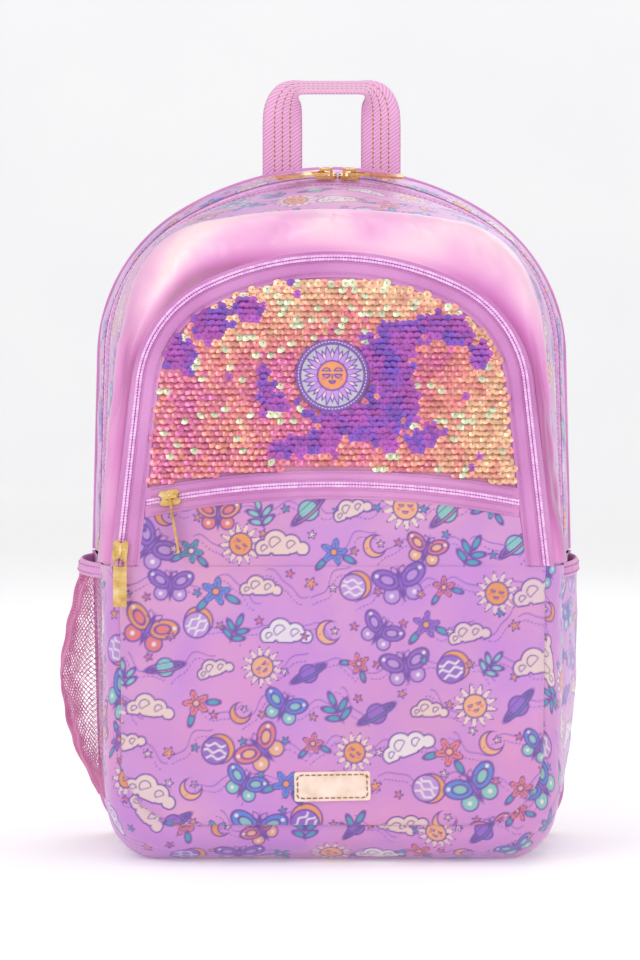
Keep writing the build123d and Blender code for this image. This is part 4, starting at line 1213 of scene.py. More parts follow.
# profiles of the two tapes: (how far in from the outline, how far off the face)
INNER_TAPE = [
    (0.15, -0.3), (1.4, 0.0), (2.4, 0.55), (4.0, 0.8), (6.5, 0.9), (8.2, 0.7),
    (9.1, 0.1), (9.6, -0.15), (10.1, 0.15), (10.8, 0.9), (11.4, 1.0), (12.0, 0.6),
]
OUTER_TAPE = [(-5.2, -2.6), (-4.2, -1.6), (-3.2, -0.9), (-2.2, -0.5), (-1.4, -0.4), (-0.15, -0.4)]
seams = [(8.6, 0.45, THREAD, 3.0), (2.6, 0.7, THREAD, 2.4)]
flap_band("flap_zip_tape_cloth", INNER_TAPE, TAPE, "flap", "flap_zip_tape", seams)
flap_band("pocket_zip_outer_tape", OUTER_TAPE, TAPE, "front", None)
line, side = flap_line(-1.25, 0.1)
coil_row("flap_zip_teeth_outer", line, FACE_OUT, "front", "flap_zip_coil_outer")
line, side = flap_line(0.75, 0.1)
coil_row("flap_zip_teeth_inner", line, FACE_OUT, "flap", "flap_zip_coil_inner")

# wall of the flap pocket, seen when the flap is down
lines = [flap_line(-0.9, -1.6)[0]]
root = lines[0].copy()
root[:, 1] = FRONT_Y - 2.8
P = np.stack([lines[0] + (root - lines[0]) * k for k in np.linspace(0, 1, 14)], 1)
wall = grid("flap_pocket_wall", P, LINING)
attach(wall, "front")
step = np.linalg.norm(np.diff(lines[0], axis=0), axis=1)
deep = (root - lines[0])[:, 1]

# sequin ground and printed foot
INSET = 11.2
edge_path = flap_arch(900, INSET, 0.4)
right_side = edge_path[450:]
order = np.argsort(right_side[:, 1])


def flap_half(u):
    return np.interp(u, right_side[order, 1], right_side[order, 0])


def band_u(x, offset=0.0):
    """Height up the flap of the pocket zip's middle line, or of a line beside it."""
    return BAND_U - BAND_R + np.sqrt((BAND_R + offset) ** 2 - np.asarray(x, float) ** 2)


CROWN = edge_path[:, 1].max()


def belly_out(x, u):
    """How far the sequin cloth stands proud."""
    side = np.clip((flap_half(u) - abs(x)) / 30, 0, 1)
    low = np.clip((u - band_u(np.clip(x, -113, 113), 8)) / 30, 0, 1)
    return 0.9 + 1.4 * ramp01(side, 0, 1) * ramp01(low, 0, 1)


v = np.linspace(0, 1, 70)
s = np.linspace(-1, 1, 90)
U = (band_u(0, 7.5) + (CROWN - 0.2 - band_u(0, 7.5)) * v)[None] + 0 * s[:, None]
X = s[:, None] * flap_half(U)
U = U + (1 - v[None]) ** 2 * (band_u(X, 7.5) - band_u(0, 7.5))
ground = grid("sequin_ground", flap_point(X, U, belly_out(X, U) - 0.5), BASE_CLOTH, np.stack([X, U], -1), flip=False)
settle(thick(ground, 0.8))
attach(ground, "flap")
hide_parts("sequin_backing")
cut = grid_rim(X, U)

# lining on the flap's back, and the lining of its own zipped pocket
cut = flap_arch(301, 2.2, 0.4)
F = fill_inside(cut, lambda a, b: 0 * a, 50)
LX, LU = F[..., 0], F[..., 2]
P = flap_point(LX, LU, -2.9 - 0.25 * np.sin(LX / 17) * np.sin(LU / 21))
flap_lining = grid("flap_lining_cloth", P, LINING, np.stack([LX, LU], -1), flip=True)
settle(thick(flap_lining, 0.6))
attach(flap_lining, "flap")
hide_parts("flap_lining")
LX, LU = np.meshgrid(np.linspace(-99.5, 99.5, 90), np.linspace(1.6, BAND_U - 10.5, 30), indexing="ij")
edge = np.sin(np.pi * (LX + 99.5) / 199)
P = flap_point(LX, LU, -3.9 - 0.5 * edge * (1 + np.sin(LX / 12)))
top_bag = grid("pocket_lining_top", P, LINING, np.stack([LX, LU], -1), flip=True)
settle(thick(top_bag, 0.6))
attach(top_bag, "flap")
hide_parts("zip_pocket_bag_upper")

# sequins sewn in staggered columns, each lapping the one below
rng = np.random.default_rng(5)
gx, gu = 4.05, 3.55
rows = []
for i, u in enumerate(np.arange(band_u(0, 0) - 8, CROWN, gu)):
    x = np.arange(-130, 130, gx) + (i % 2) * gx / 2
    rows.append(np.stack([x, np.full(len(x), u)], 1))
spots = np.concatenate(rows) + rng.normal(0, 0.16, (sum(map(len, rows)), 2))
x, u = spots.T
keep = (abs(x) < flap_half(u) - 1.0) & (u > band_u(np.clip(x, -120, 120), 10.3)) & (u < CROWN - 1.0)
badge_u = (290 - WAIST) / math.cos(FLAP_LEAN)
keep &= np.hypot(x, u - badge_u) > 22.6
x, u = x[keep], u[keep]


def patch(x, u, blobs):
    """How deep each sequin lies in a turned-over patch."""
    deep = np.zeros(len(x))
    for cx, cu, rx, ru, turn in blobs:
        c, s = math.cos(turn), math.sin(turn)
        dx, du = (x - cx) * c + (u - cu) * s, (u - cu) * c - (x - cx) * s
        deep = np.maximum(deep, 1.25 - np.hypot(dx / rx, du / ru))
    return deep


# patches of turned-over sequins: centre, half sizes and turn
TURNED_PATCHES = (
    (-72, 146, 18, 14, 0.5), (-52, 152, 12, 8, 0.1), (-88, 124, 10, 14, 0.7), (30, 118, 20, 24, 0.3),
    (44, 138, 26, 12, 0.2), (8, 84, 34, 12, -0.3), (34, 92, 20, 20, 0.6), (-14, 72, 28, 8, 0.15),
    (68, 140, 20, 10, -0.3), (88, 126, 8, 9, 0.2), (-38, 102, 9, 16, 0.2), (54, 76, 14, 8, 0.4),
)
turned = patch(x, u, TURNED_PATCHES)
lively = rumple(np.stack([x, u, 0 * x], 1), 51, 26, 1.0)
flipped = turned + 0.3 * lively + rng.normal(0, 0.13, len(x)) > 0.42
# the sequins' own rose colour, lifted by glow, a painted highlight, through peach to a pale gleam: patchy at random and
# stronger towards the top and the right (rim_glow)
glow = 0.5 + 0.5 * rumple(np.stack([x, u, 0 * x], 1), 52, 80, 0.9) + rng.normal(0, 0.16, len(x))
rim_glow = np.clip((u - 128) / 30, 0, 1) * 0.55 + np.clip((x - 50) / 40, 0, 1) * 0.4
glow = np.clip(0.8 * glow + rim_glow - 0.14, 0, 1)
rose, peach = np.array(lin(224, 112, 168)), np.array(lin(240, 146, 138))
gleam, mint = np.array(lin(248, 198, 158)), np.array(lin(222, 228, 190))
tint = rose + (peach - rose) * np.clip(glow * 2.2, 0, 1)[:, None]
tint = tint + (gleam - tint) * np.clip(glow * 2.2 - 1.1, 0, 1)[:, None]
# spark: painted mint glints on a few sequins, more of them near the top
spark = rng.random(len(x)) < 0.06 + 0.12 * (u > 130)
tint[spark] = mint
cool, deep = np.array(lin(122, 76, 190)), np.array(lin(176, 80, 180))
mixing = np.clip(0.5 + lively + rng.normal(0, 0.25, len(x)), 0, 1)[:, None]
tint = np.where(flipped[:, None], cool + (deep - cool) * mixing, tint)
tint *= rng.uniform(0.8, 1.12, (len(x), 1))
tint = np.clip(tint, 0, 1)
aim = np.tile(FACE_OUT, (len(x), 1)) + np.stack([0 * x, 0 * x, np.where(flipped, -0.34, 0.34)], 1)
aim += rng.normal(0, 0.06, aim.shape)
across = np.tile((1.0, 0, 0), (len(x), 1))
seats = flap_point(x, u, belly_out(x, u) + np.where(flipped, 0.75, 0.5))
sequins = repeat("sequins", seats, aim, across, SCALE_DISC, SEQUIN, tilt=0.12, seed=9, tint=tint)
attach(sequins, "flap")
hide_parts("sequin_layer")

# the printed foot of the flap, in line with the panel under it
v = np.linspace(0, 1, 70)
s = np.linspace(-1, 1, 330)
X = s[:, None] * flap_half(v * (BAND_U - 10))[None]
U = -0.2 + (band_u(np.clip(X, -113, 113), -7.4) + 0.2) * v[None]
P = flap_point(X, U, 0.55 + 0.5 * np.sin(np.pi * v)[None] + rumple(np.stack([X, U, 0 * X], -1), 61, 60, 0.35))
foot = grid("flap_foot_print", P, PRINT, np.stack([X, U + WAIST], -1))
store_print_and_painted_light(foot, printed(X, U + WAIST, 14))
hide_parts("flap_print_strip")
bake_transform(foot)
cut = grid_rim(X, U)

# the pocket zip across the flap
def band_cloth(name, lo, hi, node):
    ks = np.linspace(0, 1, 12)
    xs = np.linspace(-1, 1, 260)
    rows = []
    for k in ks:
        off = lo + (hi - lo) * k
        reach = float(flap_half(BAND_U - 6)) + 0.3
        x = xs * reach
        rim = math.sin(math.pi * k)
        rows.append(flap_point(x, band_u(x, off), 0.75 + 0.55 * rim**0.6))
    P = np.stack(rows, 1)
    cloth = grid(name, P, GLOSS_TAPE)
    settle(thick(cloth, 0.9))
    parts = [cloth]
    inner = lo if abs(lo) < abs(hi) else hi
    sign = 1 if hi > 0 else -1
    for k, off in enumerate((inner + sign * 1.6, inner + sign * 5.6)):
        x = np.linspace(-106, 106, 300)
        parts.append(stitch_row(f"{name}_stitches_{k}", flap_point(x, band_u(x, off), 1.25), FACE_OUT, THREAD, 2.2))
    cloth = join(name, parts)
    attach(cloth, "flap")
    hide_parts(node)


band_cloth("pocket_zip_tape_upper_cloth", 1.5, 8.6, "pocket_zip_tape_upper")
band_cloth("pocket_zip_tape_lower_cloth", -8.6, -1.5, "pocket_zip_tape_lower")
x = np.linspace(-110, 110, 400)
coil_row("pocket_zip_teeth_upper", flap_point(x, band_u(x, 0.95), 0.5), FACE_OUT, "flap", "pocket_zip_coil_upper")
coil_row("pocket_zip_teeth_lower", flap_point(x, band_u(x, -0.95), 0.5), FACE_OUT, "flap", "pocket_zip_coil_lower")
P = np.stack([flap_point(x, band_u(x, off), -0.2) for off in np.linspace(-2.4, 2.4, 4)], 1)
under = grid("pocket_zip_ground", P, LINING)
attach(under, "flap")


# ---- Badge and label ----
def badge():
    turns, rings = 260, 66
    a = np.linspace(0, 2 * np.pi, turns + 1)
    r = np.linspace(0.0, 19.4, rings)
    A, R = np.meshgrid(a, r, indexing="ij")
    X, Yb = R * np.sin(A), R * np.cos(A)
    out = 2.9 + 0.5 * (1 - (R / 19.4) ** 2)
    P = flap_point(X, badge_u + Yb, out)
    disc = grid("badge_disc_foil", P, FOIL, np.stack([X, Yb], -1), flip=True)
    p = Print(X, Yb, 71)
    p.rgb[:] = np.array(lin(206, 204, 214))
    x, y = p.at(0, 0, 18.6, 0.0)
    ang, rad = np.arctan2(x, y), np.hypot(x, y)
    for shift, far, colour in ((0.5, 0.84, CREAM), (0.0, 0.95, LILAC)):
        turn = (ang / (2 * np.pi) * 16 + shift) % 1.0
        p.shape_of((rad - (0.44 + (far - 0.44) * (1 - abs(2 * turn - 1)) ** 0.85)) * 0.5, colour, INK)
    p.shape_of(rad - 0.47, ORANGE, INK)
    p.stroke(rad - 0.43, CORAL, 0.6)
    for side in (-1, 1):
        p.stroke(np.maximum(ring(x, y, 0.11, side * 0.19, 0.04), y - 0.03), INK, 1.0)
        p.stroke(np.maximum(ring(x, y, 0.14, side * 0.19, 0.1), 0.15 - y), INK, 0.8)
        p.ink(ring(x, y, 0.065, side * 0.28, -0.1), CORAL)
    p.stroke(np.maximum(abs(x) - 0.005, abs(y + 0.03) - 0.06), INK, 0.7)
    p.stroke(np.maximum(ring(x, y, 0.1, 0, -0.15), y + 0.18), INK, 1.0)
    store_print_and_painted_light(disc, p.done())
    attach(disc, "flap")
    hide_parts("badge_disc")
    t = np.linspace(0, 2 * np.pi, 200, endpoint=False)
    loop = flap_point(20.1 * np.sin(t), badge_u + 20.1 * np.cos(t), 2.5)
    rim = tube("badge_rim_cloth", loop, 1.9, RIM_CLOTH, 12, 0.95, up=FACE_OUT, closed=True)
    t = np.linspace(0, 2 * np.pi, 64, endpoint=False)
    spots = flap_point(20.1 * np.sin(t), badge_u + 20.1 * np.cos(t), 4.2)
    run = np.stack([np.cos(t), -np.sin(t) * math.sin(FLAP_LEAN), -np.sin(t) * math.cos(FLAP_LEAN)], 1)
    dots = repeat("badge_stitches", spots, FACE_OUT, run, grain_item("rim_stitch_item", 1.25, 0.55, 0.5), PALE_THREAD)
    rim = join("badge_rim_cloth", [rim, dots])
    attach(rim, "flap")
    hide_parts("badge_rim")


def badge_foil():
    f = Finish("badge_foil", rough=0.3, metal=0.55, coat=0.4)
    print_colour = f.attribute("print")
    shade = f.ramp(f.noise(f.place(), 90, 2.0), (0.3, (0.75, 0.72, 0.85)), (0.6, (1, 1, 1)))
    f.colour(f.blend("MULTIPLY", 0.5, print_colour, shade))
    f.bump(f.noise(f.place(), 900, 2.0), 0.04, 0.3)
    f.rough(f.noise(f.place(), 200, 2.0), 0.2, 0.4)
    return f.mat


FOIL = badge_foil()
badge()


def rounded_box(w, h, r, count=10, cx=0.0, cz=0.0, turn=0.0):
    """A rounded rectangle outline, anticlockwise."""
    pts = []
    for sx, sz, a0 in ((1, 1, 0), (-1, 1, 90), (-1, -1, 180), (1, -1, 270)):
        for a in np.radians(np.linspace(a0, a0 + 90, count)):
            pts.append((sx * (w / 2 - r) + r * math.cos(a), sz * (h / 2 - r) + r * math.sin(a)))
    pts = np.array(pts)
    c, s = math.cos(turn), math.sin(turn)
    return np.stack([cx + pts[:, 0] * c - pts[:, 1] * s, cz + pts[:, 0] * s + pts[:, 1] * c], 1)


def sewn_patch(name, outline, y0, y1, material, soften=0.8, puffed=0.0, stitches=None, thread=None, pitch=3.2):
    """A sewn-on piece of cloth: an outline made solid between two depths, edges softened."""
    n = len(outline)
    centre = outline.mean(0)
    toward = 1 if y1 > y0 else -1
    shares = (1.0, 0.86, 0.6, 0.3, 0.0)
    verts, faces = [], []
    for x, z in outline:
        verts.append((x, y0, z))
    for k in shares[:-1]:
        for x, z in centre + (outline - centre) * k:
            rise = puffed * (1 - k**2)
            verts.append((x, y1 + toward * rise, z))
    verts.append((centre[0], y1 + toward * puffed, centre[1]))
    for row in range(len(shares) - 1):
        for j in range(n):
            k = (j + 1) % n
            faces.append((row * n + j, row * n + k, (row + 1) * n + k, (row + 1) * n + j))
    last = (len(shares) - 1) * n
    for j in range(n):
        faces.append((last + j, last + (j + 1) % n, len(verts) - 1))
    faces.append(tuple(range(n))[::-1])
    if toward < 0:
        faces = [f[::-1] for f in faces]
    faces = [f[::-1] for f in faces]
    verts = np.array(verts)
    obj = piece(name, verts, faces, material, verts[:, [0, 2]])
    bevel = obj.modifiers.new("soft_edge", "BEVEL")
    bevel.width, bevel.segments, bevel.limit_method, bevel.angle_limit = soften * 0.001, 3, "ANGLE", math.radians(50)
    settle(obj)
    obj.data.shade_smooth()
    if stitches is not None:
        ring_path = centre + (outline - centre) * (1 - stitches / np.abs(outline - centre).max(0))
        ring_path = np.r_[ring_path, ring_path[:1]]
        lift = puffed * (1 - 0.86**2) + 0.05
        path = np.stack([ring_path[:, 0], np.full(n + 1, y1 + toward * lift), ring_path[:, 1]], 1)
        row = stitch_row(name + "_stitches", path, (0, toward, 0), thread or THREAD, pitch, BIG_STITCH)
        obj = join(name, [obj, row])
    return obj


label_shape = rounded_box(45, 17.5, 1.6, 8, 0, 48, 0.02)
plate = sewn_patch("label_plate_leather", label_shape, -104.6, -106.9, LEATHER, 0.5, 0.2, 2.0, BROWN_THREAD, 3.4)
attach(plate, "bag")
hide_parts("label_plate")


# ---- Side pockets ----
def side_face(y, z):
    """Half width of the bag's side at a depth and height."""
    k = (np.asarray(y) - FRONT_Y) / (BACK_Y - FRONT_Y)
    up = np.clip((np.asarray(z) - BASE_CORNER) / (WAIST - BASE_CORNER), 0, None)
    low = np.clip(BASE_CORNER - np.asarray(z), 0, BASE_CORNER)
    dip = BASE_CORNER - np.sqrt(BASE_CORNER**2 - low**2)
    return (FRONT_FOOT + up) * (1 - k) + (BACK_FOOT + 4 * up) * k - dip


def pocket_face(y, z, bulge, hem, lift=0.0):
    share = np.interp(z, (32, 62, 105, 167, 176), (0.15, 0.72, 1.0, hem + 0.06, hem))
    share = share - 0.05 * np.exp(-(((z - 62) / 14) ** 2)) - 0.04 * np.exp(-(((z - 105) / 16) ** 2))
    fore = np.clip(np.cos(np.pi * (np.asarray(y) - 0.5) / 105.5), 0, 1) ** 0.62
    return side_face(y, z) + 0.7 + bulge * share * fore + lift


def netted(name, place, ny=58, nz=78, thread=0.00066):
    """A diamond net of threads; place(i, j) gives the point of each knot."""
    index, verts, faces = {}, [], []
    for i in range(ny + 1):
        for j in range(nz + 1):
            if (i + j) % 2 == 0:
                index[i, j] = len(verts)
                verts.append(place(i, j))
    for i in range(ny + 1):
        for j in range(nz + 1):
            if (i + j) % 2 == 1:
                around = [(i, j - 1), (i + 1, j), (i, j + 1), (i - 1, j)]
                found = [index[c] for c in around if c in index]
                if len(found) >= 3:
                    faces.append(found)
    verts = np.array(verts, float)
    net = piece(name, verts, faces, NET, verts[:, 1:])
    wire = net.modifiers.new("threads", "WIREFRAME")
    wire.thickness, wire.use_even_offset, wire.use_boundary = thread, False, True
    settle(net)
    return net


def net_pocket():
    ny, nz = 58, 78
    ys, zs = np.linspace(-52, 53, ny + 1), np.linspace(33, 169, nz + 1)

    def knot(i, j):
        wobble = 0.9 * math.sin(ys[i] * 0.22 + zs[j] * 0.07) + 0.6 * math.sin(zs[j] * 0.31)
        ease = math.sin(math.pi * i / ny)
        return -float(pocket_face(ys[i], zs[j], 28, 0.4)) + wobble * ease * 0.8, ys[i], zs[j]

    net = netted("net_pocket", knot)
    # the same net lying flat at the size it was cut to, made and removed again at once
    width, length = 122.5, 142.0
    flat_net = netted("flat_net", lambda i, j: (0.0, i * width / ny, j * length / nz))
    bpy.data.objects.remove(flat_net)
    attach(net, "bag")
    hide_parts("mesh_pocket")


net_pocket()
ys, zs = np.linspace(-52, 53, 150), np.linspace(31.5, 172, 180)
Yg, Zg = np.meshgrid(ys, zs, indexing="ij")
wave_in = rumple(np.stack([0 * Yg, Yg, Zg], -1), 81, 48, 0.8) * np.sin(np.pi * (Yg + 52) / 105)
P = np.stack([pocket_face(Yg, Zg, 9.5, 0.8) + wave_in, Yg, Zg], -1)
right_pocket = grid("right_pocket_print", P, PRINT, np.stack([Yg, Zg], -1))
store_print_and_painted_light(right_pocket, printed(Yg + 60, Zg, 82))
settle(thick(right_pocket, 1.2))
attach(right_pocket, "bag")
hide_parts("side_pocket_right")


def pocket_hem(name, sign, bulge, hem, node):
    """A gathered elastic hem: small even puckers along the pocket's mouth."""
    ys, ks = np.linspace(-52.6, 53.6, 260), np.linspace(0, 2 * np.pi, 17)
    Yg, K = np.meshgrid(ys, ks, indexing="ij")
    pucker = 0.45 * np.sin(Yg * 2.4) + 0.2 * np.sin(Yg * 5.1 + 1)
    Zg = 171.6 + 4.6 * np.cos(K)
    thickness = 1.5 + 0.35 * pucker * abs(np.sin(K))
    ends = np.clip((53.6 - abs(Yg - 0.5)) / 2, 0.15, 1)
    X = pocket_face(np.clip(Yg, -52, 53), np.clip(Zg, 167, 176), bulge, hem) + thickness * np.sin(K) * ends
    P = np.stack([sign * X, Yg, Zg + 0.15 * pucker], -1)
    roll = grid(name, P, BINDING, np.stack([Yg, K * 3.2], -1), flip=sign > 0)
    rows = []
    for k, z in enumerate((169.3, 173.6)):
        y = np.linspace(-50, 51, 120)
        x = pocket_face(y, np.full(120, z), bulge, hem) + 1.5
        path = np.stack([sign * x, y, np.full(120, z)], 1)
        rows.append(stitch_row(f"{name}_stitches_{k}", path, (sign, 0, 0), THREAD, 2.8))
    roll = join(name, [roll, *rows])
    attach(roll, "bag")
    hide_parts(node)


pocket_hem("net_pocket_hem", -1, 28, 0.4, "mesh_pocket_hem")
pocket_hem("right_pocket_hem", 1, 9.5, 0.8, "side_pocket_right_hem")


# ---- Handle: one length of striped webbing, turned over at the top ----
def ribbon(name, centre, normal, width, depth, material, curl=0.0):
    """A flat webbing along a path; widths may vary; UV runs along and across it."""
    centre, normal = np.asarray(centre, float), np.asarray(normal, float)
    n = len(centre)
    width = np.broadcast_to(np.asarray(width, float), (n,))
    run = np.gradient(centre, axis=0)
    run /= np.linalg.norm(run, axis=1)[:, None]
    normal = normal - (normal * run).sum(1)[:, None] * run
    normal /= np.linalg.norm(normal, axis=1)[:, None]
    across = np.cross(run, normal)
    loop = []
    for s in np.linspace(-0.5, 0.5, 13):
        loop.append((s, 0.5 - 0.5 * (abs(s) > 0.49)))
    for s in np.linspace(0.5, -0.5, 13):
        loop.append((s, -0.5 + 0.5 * (abs(s) > 0.49)))
    loop = np.array([q for k, q in enumerate(loop) if k != 13 and k != 25])
    m = len(loop)
    lift = curl * (1 - (2 * loop[:, 0]) ** 2)
    P = (
        centre[:, None]
        + across[:, None] * (loop[:, 0][None, :, None] * width[:, None, None])
        + normal[:, None] * ((loop[:, 1] * depth + lift)[None, :, None])
    )
    faces = []
    for i in range(n - 1):
        for j in range(m):
            k = (j + 1) % m
            faces.append((i * m + j, (i + 1) * m + j, (i + 1) * m + k, i * m + k))
    faces += [tuple(range(m)), tuple((n - 1) * m + j for j in range(m))[::-1]]
    faces = [f[::-1] for f in faces]
    uv = np.stack([np.repeat(run_length(centre), m), (np.tile(loop[:, 0], n) + 0.5) * np.repeat(width, m)], 1)
    return piece(name, P.reshape(-1, 3), faces, material, uv)


def handle():
    t = np.linspace(-1, 1, 181)
    x, z = [0.0], [0.0]
    half = t[90:]
    angle = np.radians(90) * ramp01(half, 0.26, 0.56)
    for a in angle[1:]:
        x.append(x[-1] + math.cos(a) * 1.28)
        z.append(z[-1] - math.sin(a) * 1.28)
    x, z = np.array(x), np.array(z)
    x = x * (31.0 / x[-1])
    z = z - z[-1]
    z = 390 + z * (79.0 / z[0])
    twist = ramp01(half, 0.60, 0.24)
    right = np.stack([x, 68.1 + 0 * x, z], 1)
    normal = np.stack([0 * x, -(1 - 0.62 * twist), 0.93 * twist + 1e-6], 1)
    normal[:, 0] += 0.25 * np.sin(np.pi * twist)
    left, left_n = right[:0:-1] * (-1, 1, 1), normal[:0:-1] * (-1, 1, 1)
    path, normal = np.r_[left, right], np.r_[left_n, normal]
    loop = ribbon("handle_webbing_loop", path, normal, 25 - 1.0 * np.r_[twist[:0:-1], twist], 2.2, HANDLE_WEB, 0.0)
    boxes = []
    for x0 in (-31, 31):
        ring_path = rounded_box(18, 18, 0.5, 2, x0, 403)
        ring_path = np.r_[ring_path, ring_path[:1]]
        for y, way in ((69.35, 1), (66.85, -1)):
            path3 = np.stack([ring_path[:, 0], np.full(len(ring_path), y), ring_path[:, 1]], 1)
            boxes.append(stitch_row(f"handle_box_{x0}_{y}", path3, (0, way, 0), THREAD, 3.0, BIG_STITCH))
    loop = join("handle_webbing_loop", [loop, *boxes])
    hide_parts("grab_handle", "handle_anchors")
    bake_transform(loop)


handle()


# ---- Back: stitched pads on the panel, yoke, straps and their hardware ----
full_arch = arch(BACK_ARCH, BACK_HALF, WAIST, 901, 1.2)
right_arch = full_arch[450:][::-1]


def back_half(z):
    """Half width of the back panel at a height, from the base to the crown."""
    z = np.asarray(z, float)
    low = BACK_FOOT - 29 + np.sqrt(np.clip(27**2 - (28 - z) ** 2, 0, None))
    mid = BACK_FOOT - 1.2 + 4 * (z - 28) / 150
    high = np.interp(z, right_arch[:, 1], right_arch[:, 0])
    return np.where(z < 28, low, np.where(z < WAIST, mid, high))


crown = full_arch[:, 1].max()
quarter = lambda count: np.linspace(0, np.pi / 2, count)
foot_zs, side_zs = 1.2 + 27 * (1 - np.cos(quarter(24))), np.linspace(29, 330, 150)[1:]
crown_zs = crown - (crown - 330) * (1 - np.sin(quarter(70)))[1:]
zs = np.r_[foot_zs, side_zs, crown_zs]
xs = np.linspace(-1, 1, 180)
X = xs[:, None] * back_half(zs)[None]
Z = np.broadcast_to(zs, X.shape)


def soft_box(x, z, cx, cz, hw, hh, r, deep):
    """Height of a padded patch with rounded sewn edges."""
    d = np.hypot(np.maximum(abs(x - cx) - hw + r, 0), np.maximum(abs(z - cz) - hh + r, 0)) - r
    return deep * (1 - np.clip(1 + d / 11, 0, 1) ** 2.4)


# the pads: centre, half width and half height; a spine runs up between the upper four
PADS = ((-64, 262, 46, 78), (64, 262, 46, 78), (-64, 138, 46, 40), (64, 138, 46, 40), (0, 52, 112, 34))
SPINE = (0, 206, 12, 134)
pads = np.zeros_like(X)
for cx, cz, hw, hh in (*PADS, SPINE):
    pads = np.maximum(pads, soft_box(X, Z, cx, cz, hw, hh, 12, 5.4))
lines = 0.55 * np.maximum(0, np.sin(Z * 0.209)) * (pads > 1.5)
rim = np.clip((back_half(zs)[None] - abs(X)) / 6, 0, 1) * np.clip((Z - 0.6) / 6, 0, 1) * np.clip((crown - Z) / 4, 0, 1)
Y = 56.6 + (5.0 + pads - lines) * np.sqrt(np.clip(rim, 0, 1)) + rumple(np.stack([X, 0 * X, Z], -1), 91, 60, 0.25) * rim
P = np.stack([X, np.minimum(Y, 67.2), Z], -1)
back = grid("back_pads", P, AIR_MESH, np.stack([X, Z], -1), flip=True)
back.data.materials.append(BACK_CLOTH)
flat_part = (pads < 0.4).ravel()
ids = np.array([p.vertices[0] for p in back.data.polygons])
back.data.polygons.foreach_set("material_index", flat_part[ids].astype(np.int32))
seams = []
for k, (cx, cz, hw, hh) in enumerate(PADS):
    loop = rounded_box(2 * hw + 2.5, 2 * hh + 2.5, 12, 10, cx, cz)
    loop = np.r_[loop, loop[:1]]
    path = np.stack([loop[:, 0], np.full(len(loop), 61.75), loop[:, 1]], 1)
    seams.append(stitch_row(f"back_seam_{k}", path, (0, 1, 0), THREAD, 3.6, BIG_STITCH))
back = join("back_pads", [back, *seams])
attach(back, "bag")
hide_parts("back_foam", "back_cover")

yoke_shape = rounded_box(208, 29, 8, 8, 0, 366.5)
yoke = sewn_patch("strap_yoke_cloth", yoke_shape, 66.6, 69.2, BACK_CLOTH, 1.0, 0.8, 3.0, THREAD, 3.4)
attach(yoke, "bag")
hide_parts("strap_yoke")


def circle_through(p, q, r):
    """Centre and radius of the circle through three points in a plane."""
    ax, ay, bx, by, cx, cy = *p, *q, *r
    d = 2 * (ax * (by - cy) + bx * (cy - ay) + cx * (ay - by))
    ux = ((ax**2 + ay**2) * (by - cy) + (bx**2 + by**2) * (cy - ay) + (cx**2 + cy**2) * (ay - by)) / d
    uy = ((ax**2 + ay**2) * (cx - bx) + (bx**2 + by**2) * (ax - cx) + (cx**2 + cy**2) * (bx - ax)) / d
    return ux, uy, math.hypot(ax - ux, ay - uy)


def arc_at(z, p, q, r):
    """Where the arc through three points (v, z) lies at height z."""
    cv, cz, rad = circle_through(p, q, r)
    side = 1 if q[0] > cv else -1
    return cv + side * np.sqrt(np.clip(rad**2 - (z - cz) ** 2, 0, None))


def strap(name, side):
    top, end, mid = 384.0, 128.0, 256.0
    z = np.linspace(top - 0.6, end + 0.6, 150)
    x_out = arc_at(z, (93, 385), (112, mid), (98, 127))
    x_in = arc_at(z, (66, 127), (54, mid), (31, 385))
    inner = arc_at(z, (70.3, end), (104.3, mid), (70.3, top))
    outer = arc_at(z, (81.3, end), (115.3, mid), (81.3, top))
    centre, half = (x_out + x_in) / 2, (x_out - x_in) / 2 - 0.3
    slope = np.gradient(inner, z)
    fat = (outer - inner) / 2
    middle = (outer + inner) / 2
    a = np.linspace(0, 2 * np.pi, 60, endpoint=False)
    cs, sn = np.cos(a), np.sin(a)
    px = np.sign(cs) * abs(cs) ** 0.55
    py = np.sign(sn) * abs(sn) ** 0.8
    tuck = 1 - 0.42 * np.clip((abs(px) - 0.82) / 0.18, 0, 1)
    ends = np.clip(np.minimum(z - end, top - z) / 9, 0.35, 1) ** 0.5
    ribs = 1 - 0.07 * np.clip(np.sin(z * 0.35), 0, 1)
    norm = np.sqrt(1 + slope**2)
    thick_now = fat * ends * ribs
    Y = middle[:, None] + (py * tuck)[None] * thick_now[:, None] / norm[:, None]
    X = side * (centre[:, None] + px[None] * half[:, None])
    P = np.stack([X, Y, z[:, None] + 0 * X], -1)
    P = np.concatenate([P, P[:, :1]], 1)
    around = np.linspace(0, 2 * (half.max() * 2 + 8), 61)
    down = np.r_[0, np.cumsum(np.hypot(np.diff(z), np.diff(middle)))]
    uv = np.stack(np.meshgrid(down, around, indexing="ij"), -1)
    pad = grid(name, P, STRAP_CLOTH, uv, flip=side < 0)
    caps = []
    for row, nm in ((0, "top"), (-1, "end")):
        ring_pts = P[row, :-1]
        centre_pt = ring_pts.mean(0)
        verts = np.r_[ring_pts, [centre_pt]]
        n = len(ring_pts)
        order = 1 if (row == 0) == (side > 0) else -1
        faces = [(j, (j + 1) % n, n)[::order] for j in range(n)]
        caps.append(piece(f"{name}_{nm}", verts, faces, STRAP_CLOTH, verts[:, [0, 2]]))
    rolls = []
    for xs_, nm in ((x_out - 1.2, "outer"), (x_in + 1.2, "inner")):
        path = np.stack([side * xs_, middle, z], 1)
        rolls.append(tube(f"{name}_{nm}_binding", path, 1.7, BINDING, 10, 1.25, up=(0, 1, 0)))
    rows = []
    for off, nm in ((6.0, "a"), (-6.0, "b")):
        xx = (x_out - off) if off > 0 else (x_in - off)
        path = np.stack([side * xx, middle + fat * 0.93, z], 1)[8:-8]
        rows.append(stitch_row(f"{name}_{nm}_stitches", path, (0, 1, 0), THREAD, 3.6, BIG_STITCH))
    pad = join(name, [pad, *caps, *rolls, *rows])
    label = "right" if side > 0 else "left"
    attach(pad, f"strap_{label}")
    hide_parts(f"shoulder_strap_{label}")


